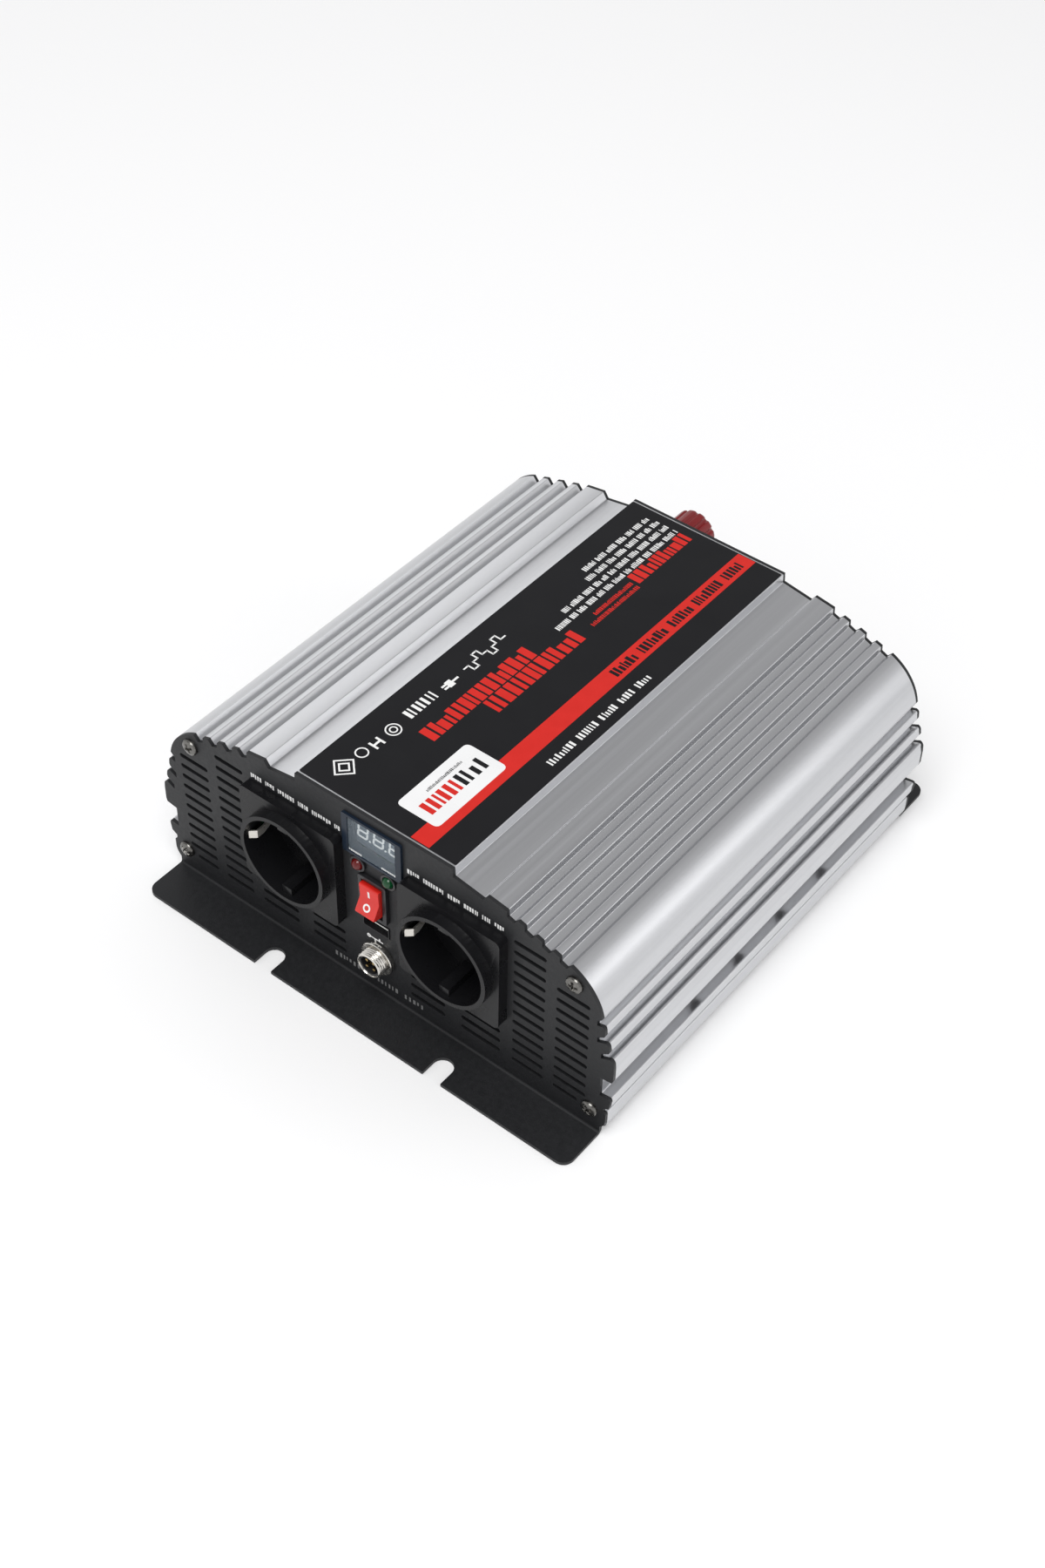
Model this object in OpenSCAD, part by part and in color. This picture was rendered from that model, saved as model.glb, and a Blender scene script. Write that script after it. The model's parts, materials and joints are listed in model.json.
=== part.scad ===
// Power inverter: two aluminium extrusions between two steel end plates with
// mounting flanges, two earthed sockets, switch, display and charging port in
// front, screw terminals and a cooling fan at the back.
// Millimetres, front faces -Y, right side is +X, the flanges stand on z = 0.

/* [Case] */
// Length over the outer faces of the two end plates
case_len = 214; // [180:1:260]
// Thickness of the end plates
plate_t = 1.5; // [1:0.1:2.5]
// Depth of the flange at the foot of each end plate
flange_d = 20.5; // [14:0.5:30]
// Half of the width of the flanges
flange_hw = 109; // [100:1:112]
// Radius of the outer corners of the flanges
flange_r = 5; // [2:0.5:12]
// Distance between the two notches of a flange
notch_spacing = 88; // [60:1:160]
// Width of a flange notch
notch_w = 9; // [5:0.5:12]

/* [Sockets] */
// Distance of each socket's centre from the middle of the front
socket_x = 39.8; // [30:0.1:60]
// Height of the socket centres
socket_z = 55.75; // [40:0.25:65]
// Radius of the plug recess
recess_r = 19.5; // [19:0.1:20]
// Depth of the plug recess
recess_depth = 17.5; // [12:0.5:20]
// Distance between the two pin holes
pin_spacing = 19; // [19:0.1:20]
// Radius of a pin hole
pin_hole_r = 2.6; // [2.4:0.05:3]

/* [Switch] */
// Height of the switch's centre
switch_z = 56; // [50:0.5:62]
// Angle of the rocker from level, the top end pressed in
rocker_tilt = 13; // [8:1:16]

/* [Rear] */
// Distance of the terminals from the middle, to the left
terminal_x = -25; // [-60:1:-15]
// Height of the positive terminal
red_z = 70; // [55:1:75]
// Height of the negative terminal
black_z = 30; // [25:1:45]
// How far the knobs stand out from the rear plate
knob_out = 30; // [25:0.5:40]
// Distance of the fan's axis from the middle
fan_x = 44; // [40:1:50]
// Height of the fan's axis
fan_z = 46; // [40:1:50]
// Width of the fan's square frame
fan_size = 70; // [60:5:80]
// Distance between neighbouring fan screws
fan_holes = 60; // [50:1:72]

/* [Hidden] */
$fn = 64;

// The overall box is centred on the origin in x and y.
front_y = flange_d - (case_len + flange_d + knob_out) / 2;
rear_y = front_y + case_len;
ext_y0 = front_y + plate_t;
ext_y1 = rear_y - plate_t;

// Profile of the extrusions, right half, as [x, z]
slab_z = 98.1;
corner_c = [82.5, 61.7];
corner_r = 25;
joint_z = 15.6;
pad_x = 103.5;
skirt_x = 106.5;
tray_c = [104.3, 10];
tray_r = 7;
tray_floor = 5.2;
upper_boss = [94.5, 77];
lower_boss = [104, 12.6];
boss_r = 4;
pilot_r = 1.75;
label_hw = 38;

// Main board and what stands on it
board_z = 13.2;
board_t = 1.6;
deck = board_z + board_t;

// Side screws that hold the clamp bars
clamp_y = [60, 89.5, 118.8, 148.5];
clamp_z = 28.5;
transistor_y = [51.5, 68.6, 80.9, 98.1, 110.2, 127.5, 139.8, 157];

// Front panel, heights and sizes
display_c = [0, 84.3];
display_w = 23.4;
display_h = 17.8;
led_x = 7.6;
led_z = 70.2;
usb_z = 39.5;
remote_x = 1;
remote_z = 22.5;
remote_r = 6;
vent_pitch = 5.65;
vent_h = 2.1;

// Terminals
stud_r = 4;
knob_r = 10.25;
base_h = 5;
washer_h = 1.2;
ground_x = -58;
ground_z = 20;

// ---------- helpers ----------

// An x-z outline given depth, from y0 back to y1
module slab(y0, y1) {
    translate([0, y1, 0])
        rotate([90, 0, 0])
            linear_extrude(y1 - y0)
                children();
}

// A round bar along y
module rod(x, z, r, y0, y1) {
    translate([x, y1, z])
        rotate([90, 0, 0])
            cylinder(r = r, h = y1 - y0);
}

// A box from its two opposite corners
module box(a, b) {
    translate(a)
        cube(b - a);
}

// A square-cornered outline with rounded corners, centred
module rounded(w, h, r) {
    square([w - 2 * r, h], center = true);
    square([w, h - 2 * r], center = true);
    for (i = [-1, 1], j = [-1, 1])
        translate([i * (w / 2 - r), j * (h / 2 - r)])
            circle(r);
}

module both_sides() {
    children();
    mirror([1, 0, 0])
        children();
}

// A pan-head screw whose head lies on y = 0 and points to -y
module pan_screw(head_r, head_h, shank_r, len) {
    difference() {
        rotate([90, 0, 0])
            cylinder(r1 = head_r, r2 = head_r * 0.72, h = head_h);
        for (a = [0, 90])
            rotate([0, a + 45, 0])
                box([-head_r * 0.5, -head_h - 1, -0.4], [head_r * 0.5, -head_h * 0.35, 0.4]);
    }
    rod(0, 0, shank_r, -head_h * 0.2, len);
}

// A hexagonal nut about the y axis
module nut(across, bore_r, y0, y1) {
    difference() {
        translate([0, y1, 0])
            rotate([90, 0, 0])
                cylinder(r = across / sqrt(3), h = y1 - y0, $fn = 6);
        rod(0, 0, bore_r, y0 - 1, y1 + 1);
    }
}

// ---------- case ----------

// Points of an arc from angle a0 to a1
function arc(c, r, a0, a1, n) =
    [for (i = [0 : n]) c + r * [cos(a0 + (a1 - a0) * i / n), sin(a0 + (a1 - a0) * i / n)]];

// A right half of an outline followed by its mirror image
function both_halves(half) =
    concat(half, [for (i = [len(half) - 1 : -1 : 0]) [-half[i][0], half[i][1]]]);

// Outside of the shell: label slab, four flat-topped ribs with a steep outer
// side, round shoulder, then side ribs with slanted slits between them
shell_half = concat(
    [[38.3, slab_z], [38.6, 93.9], [52.3, 91.7], [54.3, 94.7],
        [63.3, 93.3], [63.5, 90.1], [66.2, 89.1], [68.4, 91.6],
        [71.3, 90.7], [71.5, 88.1], [74.3, 86.9], [76.4, 89.4],
        [79.3, 88.4], [79.5, 85.8], [82.3, 84.6], [84.3, 87.1],
        [87.2, 86.1], [87.4, 83.4], [90.2, 82.2]],
    arc(corner_c, corner_r, 67, 11, 14),
    [[105, 64.6], [105, 62]],
    arc([106.9, 61.1], 1.7, 80, 10, 3),
    [[108.8, 58.8], [108.4, 57.7], [105.4, 55.5], [105.4, 52.9]],
    arc([108.9, 53], 1.9, 80, 10, 3),
    [[111.1, 51.1], [110.7, 50], [107.5, 47.7], [107.5, 45.1]],
    arc([110.9, 44.9], 2.4, 75, 10, 4),
    [[113.5, 42.5], [113.5, 36.2], [113, 34.6], [108, 33.8], [108, 23.4]],
    arc([111.4, 22.6], 1.6, 60, -10, 3),
    [[112.4, 18.4], [110, 16.8], [110, joint_z]]);

// Inside of the shell, with the flat pads that the transistors lie against
hollow_half = concat(
    [[36.2, 95.7], [37.3, 92], [52, 89.8], [66, 87.1], [73.4, 85.2],
        [80.5, 82.8], [88, 80.4]],
    arc(corner_c, corner_r - 2.2, 52, 11, 7),
    [[pad_x, 63.5], [pad_x, 22], [skirt_x, 20], [skirt_x, joint_z - 1]]);

module lower_half() {
    polygon([[0, 3], [tray_c[0], 3], [tray_c[0], 10], [110, 10],
        [110, joint_z], [0, joint_z]]);
    translate(tray_c)
        circle(tray_r);
    translate([tray_c[0], tray_c[1]])
        square([tray_r, 3.2]);
    translate([tray_c[0], 13.2])
        square([tray_r - 1.3, 1.3]);
    translate([tray_c[0] + tray_r - 1.3, 13.2])
        circle(1.3);
}

// A right half joined to its mirror image
module whole() {
    children();
    mirror([1, 0])
        children();
}

module top_shell() {
    color("silver")
        difference() {
            slab(ext_y0, ext_y1)
                polygon(both_halves(shell_half));
            difference() {
                slab(ext_y0 - 1, ext_y1 + 1)
                    polygon(both_halves(hollow_half));
                for (s = [-1, 1])
                    rod(s * upper_boss[0], upper_boss[1], boss_r, ext_y0 - 2, ext_y1 + 2);
            }
            for (s = [-1, 1])
                rod(s * upper_boss[0], upper_boss[1], pilot_r, ext_y0 - 1, ext_y1 + 1);
            both_sides() {
                // groove for the tray's tongue
                box([107.1, ext_y0 - 1, joint_z - 1], [109, ext_y1 + 1, joint_z + 1.4]);
                for (y = clamp_y)
                    translate([102, front_y + y, clamp_z])
                        rotate([0, 90, 0])
                            cylinder(r = 1.5, h = 8);
            }
        }
}

module tray_outline() {
    difference() {
        intersection() {
            lower_half();
            translate([-1, 0])
                square([130, joint_z]);
        }
        difference() {
            translate([-1, tray_floor])
                square([skirt_x + 1, 20]);
            translate(lower_boss)
                circle(boss_r);
            translate(lower_boss)
                square([5, 4]);
        }
        translate(lower_boss)
            circle(pilot_r);
    }
    translate([107.3, joint_z - 0.5])
        square([1.5, 1.7]);
}

module base_tray() {
    color("silver")
        difference() {
            slab(ext_y0, ext_y1)
                whole()
                    tray_outline();
            for (x = [-80, 0, 80], y = [22, 182])
                translate([x, front_y + y, 0])
                    cylinder(r = 1.6, h = 20);
        }
}

// The outline shared by both end plates
module plate_outline() {
    polygon(both_halves(shell_half));
    whole() {
        lower_half();
        translate([0, 2.5])
            square([flange_hw, 12]);
    }
}

// Flange with its bend, running out to -y from the outer face of a plate
module flange() {
    difference() {
        union() {
            for (s = [-1, 1])
                translate([s * (flange_hw - flange_r), flange_r - flange_d, 0])
                    cylinder(r = flange_r, h = plate_t);
            box([-flange_hw + flange_r, -flange_d, 0], [flange_hw - flange_r, -1, plate_t]);
            box([-flange_hw, flange_r - flange_d, 0], [flange_hw, -1, plate_t]);
            // quarter bend, 1 mm inside radius
            translate([-flange_hw, -1, plate_t + 1])
                rotate([90, 0, 90])
                    linear_extrude(2 * flange_hw)
                        intersection() {
                            difference() {
                                circle(plate_t + 1);
                                circle(1);
                            }
                            translate([0, -4])
                                square([4, 4]);
                        }
        }
        for (s = [-1, 1])
            translate([s * notch_spacing / 2, 0, -1]) {
                translate([0, -13.8, 0])
                    cylinder(r = notch_w / 2, h = 4);
                box([-notch_w / 2, -flange_d - 1, 0], [notch_w / 2, -13.8, 4]);
            }
    }
}

// A row of slots from x0 to x1, the lowest at z0
module vents(x0, x1, z0, rows) {
    for (i = [0 : rows - 1])
        translate([(x0 + x1) / 2, z0 + i * vent_pitch])
            rounded(x1 - x0, vent_h, vent_h / 2 - 0.01);
}

module screw_holes() {
    for (p = [upper_boss, lower_boss])
        translate(p)
            circle(2.1);
}

module front_plate() {
    color("#1b1d22") {
        slab(front_y, front_y + plate_t)
            difference() {
                plate_outline();
                whole() {
                    screw_holes();
                    vents(66.8, 81.6, 12, 13);
                    vents(86.6, 98, 12, 11);
                    vents(86.6, 101.6, 17.65, 10);
                    vents(16.8, 34, 12, 3);
                    vents(42, 61, 12, 3);
                    translate([socket_x, socket_z])
                        circle(21.2);
                    translate([led_x, led_z])
                        circle(3.2);
                }
                translate(display_c)
                    square([display_w + 1.2, display_h + 1.2], center = true);
                translate([0, switch_z])
                    square([12.9, 18.9], center = true);
                translate([0, usb_z])
                    square([13.8, 6.4], center = true);
                translate([remote_x, remote_z])
                    circle(remote_r + 0.1);
            }
        translate([0, front_y, 0])
            flange();
    }
}

module rear_plate() {
    color("#1b1d22") {
        slab(rear_y - plate_t, rear_y)
            difference() {
                plate_outline();
                whole()
                    screw_holes();
                vents(86.6, 98, 17.65, 10);
                vents(-98, -86.6, 17.65, 10);
                vents(-81.6, -66.8, 17.65, 12);
                vents(-62, -44, 34.6, 9);
                translate([fan_x, fan_z])
                    circle(fan_size / 2 - 2);
                for (i = [-1, 1], j = [-1, 1])
                    translate([fan_x + i * fan_holes / 2, fan_z + j * fan_holes / 2])
                        circle(2.1);
                for (z = [red_z, black_z])
                    translate([terminal_x, z])
                        circle(6.6);
                translate([ground_x, ground_z])
                    circle(2.6);
            }
        translate([0, rear_y, 0])
            rotate([0, 0, 180])
                flange();
    }
}

module plate_screws() {
    color("silver")
        for (s = [-1, 1], p = [upper_boss, lower_boss]) {
            translate([s * p[0], front_y, p[1]])
                pan_screw(3.7, 2, 1.7, 12);
            translate([s * p[0], rear_y, p[1]])
                rotate([0, 0, 180])
                    pan_screw(3.7, 2, 1.7, 12);
        }
}

module top_label() {
    color("#141416")
        box([-label_hw, front_y + 2.2, slab_z], [label_hw, rear_y - 2.2, slab_z + 0.25]);
}

// ---------- sockets ----------

module socket_at(x) {
    color("#0c0c0e")
        difference() {
            union() {
                translate([x, 0, socket_z]) {
                    slab(front_y - 5, front_y)
                        rounded(48.5, 48.5, 2.5);
                    rod(0, 0, 21.4, front_y - 9.5, front_y - 4);
                    rod(0, 0, 21, front_y - 1, front_y + 28);
                }
            }
            translate([x, front_y, socket_z]) {
                difference() {
                    rod(0, 0, recess_r, -10.5, recess_depth - 9.5);
                    // guide ribs at the top and bottom of the recess
                    for (s = [-1, 1])
                        translate([0, 0, s * (recess_r - 1)])
                            box([-2.4, -7.5, -1.2], [2.4, 12, 3]);
                    for (s = [-1, 1])
                        translate([0, 0, s * (recess_r - 1)])
                            box([-2.4, -7.5, -3], [2.4, 12, 1.2]);
                }
                for (s = [-1, 1]) {
                    rod(0, s * pin_spacing / 2, pin_hole_r, 0, 12);
                    rod(0, s * pin_spacing / 2, 4.2, recess_depth - 6.5, 29);
                    // pocket for the earth clip
                    translate([s * 20, 0, 0])
                        box([-1, -6.8, -2.3], [0.8, recess_depth - 9.5, 2.3]);
                    translate([s * 19, 0, 0])
                        box([-0.6, 7, -2.2], [0.6, 29, 2.2]);
                }
            }
        }
}

module left_socket() {
    socket_at(-socket_x);
}

module right_socket() {
    socket_at(socket_x);
}

// Spring strips that stand into the recess from its two sides
module earth_clips() {
    color("gainsboro")
        for (x = [-socket_x, socket_x], s = [0, 1])
            translate([x, front_y, socket_z])
                mirror([s, 0, 0])
                    translate([0, 0, -2])
                        linear_extrude(4)
                            polygon([[20.6, -6.5], [20.6, -5.9], [18, -4],
                                [18, -0.6], [19.4, 5.6], [19.4, 31],
                                [18.7, 31], [18.7, 5.8], [17.2, -0.8],
                                [17.2, -4.1], [19.8, -6.5]]);
}

module socket_contacts() {
    color("goldenrod")
        for (x = [-socket_x, socket_x], s = [-1, 1])
            translate([x, front_y, socket_z + s * pin_spacing / 2]) {
                difference() {
                    rod(0, 0, 4, recess_depth - 6.4, 27);
                    rod(0, 0, 2.75, 10, 30);
                }
                translate([s * 3.4, 0, 0])
                    box([-0.4, 26, -1.6], [0.4, 35, 1.6]);
            }
}

// ---------- display and lamps ----------

module display_bezel() {
    color("#10182a")
        difference() {
            union() {
                slab(front_y - 1.2, front_y)
                    translate(display_c)
                        rounded(display_w + 5.6, display_h + 2.4, 0.8);
                slab(front_y - 0.2, front_y + 3)
                    translate(display_c)
                        square([display_w + 0.8, display_h + 0.8], center = true);
            }
            slab(front_y - 2, front_y + 4)
                translate(display_c)
                    square([display_w, display_h], center = true);
        }
}

module display_window() {
    color("#a9c4d4", 0.5)
        slab(front_y - 0.9, front_y + 0.4)
            translate(display_c)
                square([display_w - 0.2, display_h - 0.2], center = true);
}

module display_module() {
    color("#3b4650")
        slab(front_y + 4, front_y + 10)
            translate(display_c)
                square([display_w + 1, display_h - 0.8], center = true);
}

// One figure of seven bars, its corner at the origin
module figure(segments) {
    w = 5.4;
    h = 3.2;
    t = 0.8;
    ends = [[t, 0, w - t, t], [w - t, t, w, h], [w - t, h + t, w, 2 * h],
        [t, 2 * h, w - t, 2 * h + t], [0, h + t, t, 2 * h], [0, t, t, h],
        [t, h, w - t, h + t]];
    for (i = segments)
        box([ends[i][0] + 0.08, -0.15, ends[i][1] + 0.08],
            [ends[i][2] - 0.08, 0, ends[i][3] - 0.08]);
}

module display_digits() {
    color("white")
        for (i = [0 : 2])
            translate([-11.2 + i * 7.7, front_y + 4, 79.5])
                figure([0, 1, 2, 3, 4, 5, 6]);
}

module front_boards() {
    color("#1f5c33") {
        box([-15.5, front_y + 10, 66], [15.5, front_y + 11.6, 94.8]);
        box([-12, front_y + 2, 34.7], [12, front_y + 30, 36.3]);
    }
}

module led_holders() {
    color("#101010")
        for (s = [-1, 1])
            translate([s * led_x, front_y, led_z])
                difference() {
                    union() {
                        rod(0, 0, 3.7, -1.2, 0);
                        rod(0, 0, 3.1, -0.5, 6);
                    }
                    rod(0, 0, 2.6, -2, 7);
                }
}

module led_at(x) {
    translate([x, front_y, led_z]) {
        rod(0, 0, 2.5, -0.6, 8.5);
        translate([0, -0.6, 0])
            sphere(r = 2.5);
        for (s = [-1, 1])
            rod(s * 1.27, 0, 0.3, 8, 9.9);
    }
}

module red_led() {
    color("#7a0c0c")
        led_at(-led_x);
}

module green_led() {
    color("#0d5a24")
        led_at(led_x);
}

// ---------- switch ----------

// Pivot line of the rocker
pivot_y = front_y + 1;

module switch_housing() {
    color("#111113")
        difference() {
            union() {
                slab(front_y - 2, front_y)
                    translate([0, switch_z])
                        rounded(14, 21, 1);
                slab(front_y - 1, front_y + 15)
                    translate([0, switch_z])
                        square([12.7, 18.7], center = true);
                for (s = [-1, 1])
                    translate([0, front_y, switch_z + s * 9.3])
                        box([-3, plate_t + 0.1, -0.6], [3, 6, 0.6]);
            }
            slab(front_y - 3, front_y + 8.5)
                translate([0, switch_z])
                    square([10.2, 17.2], center = true);
            translate([-5.9, pivot_y, switch_z])
                rotate([0, 90, 0])
                    cylinder(r = 1.25, h = 11.8);
        }
}

module rocker() {
    color("#d01c14")
        translate([0, pivot_y, switch_z])
            rotate([-rocker_tilt, 0, 0]) {
                // the face is a shallow V, deepest at the pivot line
                translate([-4.8, 0, 0])
                    rotate([90, 0, 90])
                        linear_extrude(9.6)
                            polygon([[-4.6, 0], [-6.4, 6.2], [-6.2, 6.9],
                                [-5.6, 7.1], [-1, 7], [2.6, 3.2], [3.4, 1],
                                [3.4, -1], [2.6, -3.2], [-1, -7],
                                [-5.6, -7.1], [-6.2, -6.9], [-6.4, -6.2]]);
                translate([-5.7, 0, 0])
                    rotate([0, 90, 0])
                        cylinder(r = 1.2, h = 11.4);
            }
}

module switch_tabs() {
    color("gainsboro")
        for (z = [-5, 0, 5])
            translate([0, front_y + 15, switch_z + z])
                box([-2.4, 0, -0.4], [2.4, 8, 0.4]);
}

// ---------- charging port and remote connector ----------

module usb_shell() {
    color("gainsboro")
        difference() {
            slab(front_y - 0.4, front_y + 14)
                translate([0, usb_z])
                    rounded(13.2, 5.8, 0.5);
            slab(front_y - 1, front_y + 13.5)
                translate([0, usb_z])
                    square([12.4, 5], center = true);
        }
}

module usb_tongue() {
    color("#e8e8e4") {
        box([-6.1, front_y + 9.5, usb_z - 2.4], [6.1, front_y + 13.4, usb_z + 2.4]);
        box([-5.5, front_y + 0.8, usb_z + 0.1], [5.5, front_y + 9.5, usb_z + 1.9]);
    }
}

module connector_body() {
    color("silver")
        translate([remote_x, front_y, remote_z])
            difference() {
                union() {
                    rod(0, 0, 7.8, -2.4, 0);
                    rod(0, 0, remote_r, -7, -1);
                    rod(0, 0, remote_r, -1, 9);
                }
                rod(0, 0, 4.9, -8, 10);
                box([-0.9, -8, 3], [0.9, -3.4, 7]);
            }
}

module connector_nut() {
    color("silver")
        translate([remote_x, front_y, remote_z])
            nut(15, remote_r + 0.05, plate_t, plate_t + 2.5);
}

module connector_insert() {
    color("#161616")
        translate([remote_x, front_y, remote_z])
            difference() {
                rod(0, 0, 4.85, -2.5, 9.5);
                for (a = [45 : 90 : 315])
                    rod(2.4 * cos(a), 2.4 * sin(a), 0.65, -4, 11);
            }
}

module connector_pins() {
    color("gold")
        translate([remote_x, front_y, remote_z])
            for (a = [45 : 90 : 315])
                rod(2.4 * cos(a), 2.4 * sin(a), 0.6, -5.8, 12);
}

// ---------- power stage ----------

module clamp_screws() {
    color("dimgray")
        both_sides()
            for (y = clamp_y)
                translate([108, front_y + y, clamp_z])
                    rotate([0, 0, 90])
                        pan_screw(3, 1.9, 1.45, 15.8);
}

module clamp_bars() {
    color("silver")
        both_sides()
            difference() {
                box([95, front_y + 46, clamp_z - 5], [99, front_y + 162.5, clamp_z + 5]);
                for (y = clamp_y)
                    translate([94, front_y + y, clamp_z])
                        rotate([0, 90, 0])
                            cylinder(r = 1.5, h = 6);
            }
}

module power_transistors() {
    color("#1c1c1e")
        both_sides()
            for (y = transistor_y)
                box([99, front_y + y - 5, 24], [102.2, front_y + y + 5, 33]);
}

module transistor_tabs() {
    color("gainsboro")
        both_sides()
            for (y = transistor_y)
                translate([0, front_y + y, 0]) {
                    difference() {
                        box([102.2, -5, 24], [pad_x, 5, 40]);
                        translate([101, 0, 37])
                            rotate([0, 90, 0])
                                cylinder(r = 1.8, h = 4);
                    }
                    for (d = [-2.54, 0, 2.54])
                        translate([0, d + 0.4, 0])
                            rotate([90, 0, 0])
                                linear_extrude(0.8)
                                    polygon([[100.2, 24], [100.2, 20.2],
                                        [97.2, 19.4], [97.2, 11.8],
                                        [96.6, 11.8], [96.6, 20],
                                        [99.5, 20.8], [99.5, 24]]);
                }
}

module insulating_sheet() {
    color("#d8d2b0")
        difference() {
            box([-96, front_y + 6, tray_floor], [96, front_y + 206, tray_floor + 0.4]);
            for (x = [-80, 0, 80], y = [22, 182])
                translate([x, front_y + y, 0])
                    cylinder(r = 4.2, h = 20);
        }
}

module board_standoffs() {
    color("goldenrod")
        for (x = [-80, 0, 80], y = [22, 182])
            translate([x, front_y + y, tray_floor])
                difference() {
                    cylinder(r = 3.4, h = board_z - tray_floor, $fn = 6);
                    translate([0, 0, -1])
                        cylinder(r = 1.55, h = 12);
                }
}

module board_screws() {
    color("silver")
        for (x = [-80, 0, 80], y = [22, 182])
            translate([x, front_y + y, deck])
                rotate([-90, 0, 0])
                    pan_screw(2.8, 1.8, 1.45, 9);
}

module main_board() {
    color("#2a6b3c")
        difference() {
            translate([0, front_y, board_z])
                linear_extrude(board_t)
                    difference() {
                        translate([-98.5, 5])
                            square([197, 203]);
                        translate([fan_x - fan_size / 2 - 2, 193])
                            square([fan_size + 4, 20]);
                        for (x = [-80, 0, 80], y = [22, 182])
                            translate([x, y])
                                circle(1.7);
                    }
            both_sides()
                for (y = transistor_y)
                    box([96.2, front_y + y - 3.4, 10], [97.6, front_y + y + 3.4, 20]);
            for (x = [-39, -25])
                box([x - 6.2, rear_y - 12.2, 10], [x + 6.2, rear_y - 9.8, 20]);
        }
}

transformer_x = [-52, 0, 52];
transformer_y = 122;

module transformer_cores() {
    color("#3a3a3c")
        for (x = transformer_x)
            translate([x, front_y + transformer_y, deck])
                difference() {
                    box([-22, -8, 0], [22, 8, 42]);
                    for (s = [-1, 1])
                        translate([s * 11.25, 0, 21])
                            cube([8.5, 20, 30], center = true);
                }
}

module transformer_windings() {
    color("#c9a227")
        for (x = transformer_x)
            translate([x, front_y + transformer_y, deck])
                difference() {
                    translate([0, 0, 6.2])
                        linear_extrude(29.6)
                            rounded(30.6, 32, 4);
                    translate([0, 0, 21])
                        cube([14.2, 16.2, 40], center = true);
                }
}

// An upright can capacitor with a bead near its foot
module capacitor(r, h) {
    difference() {
        cylinder(r = r, h = h);
        translate([0, 0, 3])
            rotate_extrude()
                translate([r + 0.3, 0])
                    circle(0.8);
    }
}

module input_capacitors() {
    color("#20264a")
        for (x = [-86, -68, -50, -32, -14, 4, 22, 40])
            translate([x, front_y + 156, deck])
                capacitor(8, 32);
}

module bus_capacitors() {
    color("#20264a")
        for (x = [-62, -34])
            translate([x, front_y + 58, deck])
                capacitor(12.5, 45);
}

choke = [62, 68, 8];

module choke_core() {
    color("#d9c23a")
        translate([choke[0], front_y + choke[1], deck + choke[2] + 0.5])
            rotate_extrude()
                translate([14, 0])
                    circle(6.5);
}

module choke_winding() {
    color("#b0602a")
        translate([choke[0], front_y + choke[1], deck + choke[2] + 0.5])
            for (a = [0 : 20 : 340])
                rotate([0, 0, a])
                    translate([14, 0, 0])
                        rotate([90, 0, 0])
                            rotate_extrude()
                                translate([7.5, 0])
                                    circle(0.85);
}

module fuses() {
    color("#3f8f3c")
        for (x = [-72, -62, -52, -42])
            translate([x, front_y + 190, deck]) {
                box([-2.4, -9.5, 5], [2.4, 9.5, 17]);
                for (s = [-1, 1])
                    box([-0.4, s * 6.5 - 2.4, 0], [0.4, s * 6.5 + 2.4, 5.1]);
            }
}

module control_board() {
    color("#2a6b3c")
        box([-30, front_y + 88, deck], [38, front_y + 89.6, deck + 38]);
}

module control_chips() {
    color("#19191b")
        for (x = [-24, -6, 14])
            box([x, front_y + 84.6, deck + 14], [x + 14, front_y + 88, deck + 21]);
}

// A lead that rises from the board and bends forward to a socket contact
module lead(x, z) {
    r = 1.6;
    bend = 7;
    y0 = 35.2;
    translate([x, front_y, 0]) {
        translate([0, y0 + bend, deck])
            cylinder(r = r, h = z - bend - deck);
        translate([0, y0, z - bend])
            rotate([90, 0, 90])
                rotate_extrude(angle = 90)
                    translate([bend, 0])
                        circle(r);
        rod(0, z, r, y0 - 4, y0);
    }
}

module ac_leads() {
    color("#5a3a24")
        for (x = [-socket_x, socket_x], s = [-1, 1])
            lead(x + s * 5.5, socket_z + s * pin_spacing / 2);
}

// ---------- rear terminals ----------

module dc_busbars() {
    color("#b8683a")
        difference() {
            union() {
                box([-45, rear_y - 12, 11.5], [-33, rear_y - 10, red_z + 7]);
                box([-45, rear_y - 12, red_z - 7], [terminal_x + 7, rear_y - 10, red_z + 7]);
                box([-31, rear_y - 12, 11.5], [-19, rear_y - 10, black_z + 7]);
            }
            for (z = [red_z, black_z])
                rod(terminal_x, z, stud_r + 0.1, rear_y - 20, rear_y);
        }
}

module dc_studs() {
    color("goldenrod")
        for (z = [red_z, black_z])
            rod(terminal_x, z, stud_r, rear_y - 18, rear_y + 24);
}

// Nuts that hold the studs and the busbars, inside
module terminal_nuts() {
    color("goldenrod")
        for (z = [red_z, black_z])
            translate([terminal_x, rear_y, z]) {
                nut(13, stud_r + 0.05, -10, -4.6);
                nut(13, stud_r + 0.05, -17.4, -12);
            }
}

module base_at(z) {
    translate([terminal_x, rear_y, z])
        difference() {
            union() {
                rod(0, 0, 12, 0, base_h);
                rod(0, 0, 6.5, -plate_t, 0.5);
            }
            rod(0, 0, stud_r + 0.05, -6, base_h + 1);
        }
    // inner insulating washer
    translate([terminal_x, rear_y - plate_t, z])
        difference() {
            rod(0, 0, 10.5, -3.1, -0.02);
            rod(0, 0, stud_r + 0.05, -4, 1);
        }
}

module red_base() {
    color("#8c1414")
        base_at(red_z);
}

module black_base() {
    color("#121214")
        base_at(black_z);
}

module washer_at(z) {
    translate([terminal_x, rear_y + base_h, z])
        difference() {
            rod(0, 0, 8.5, 0.3, 0.3 + washer_h);
            rod(0, 0, stud_r + 0.08, -1, washer_h + 1);
        }
}

module red_washer() {
    color("silver")
        washer_at(red_z);
}

module black_washer() {
    color("silver")
        washer_at(black_z);
}

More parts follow.
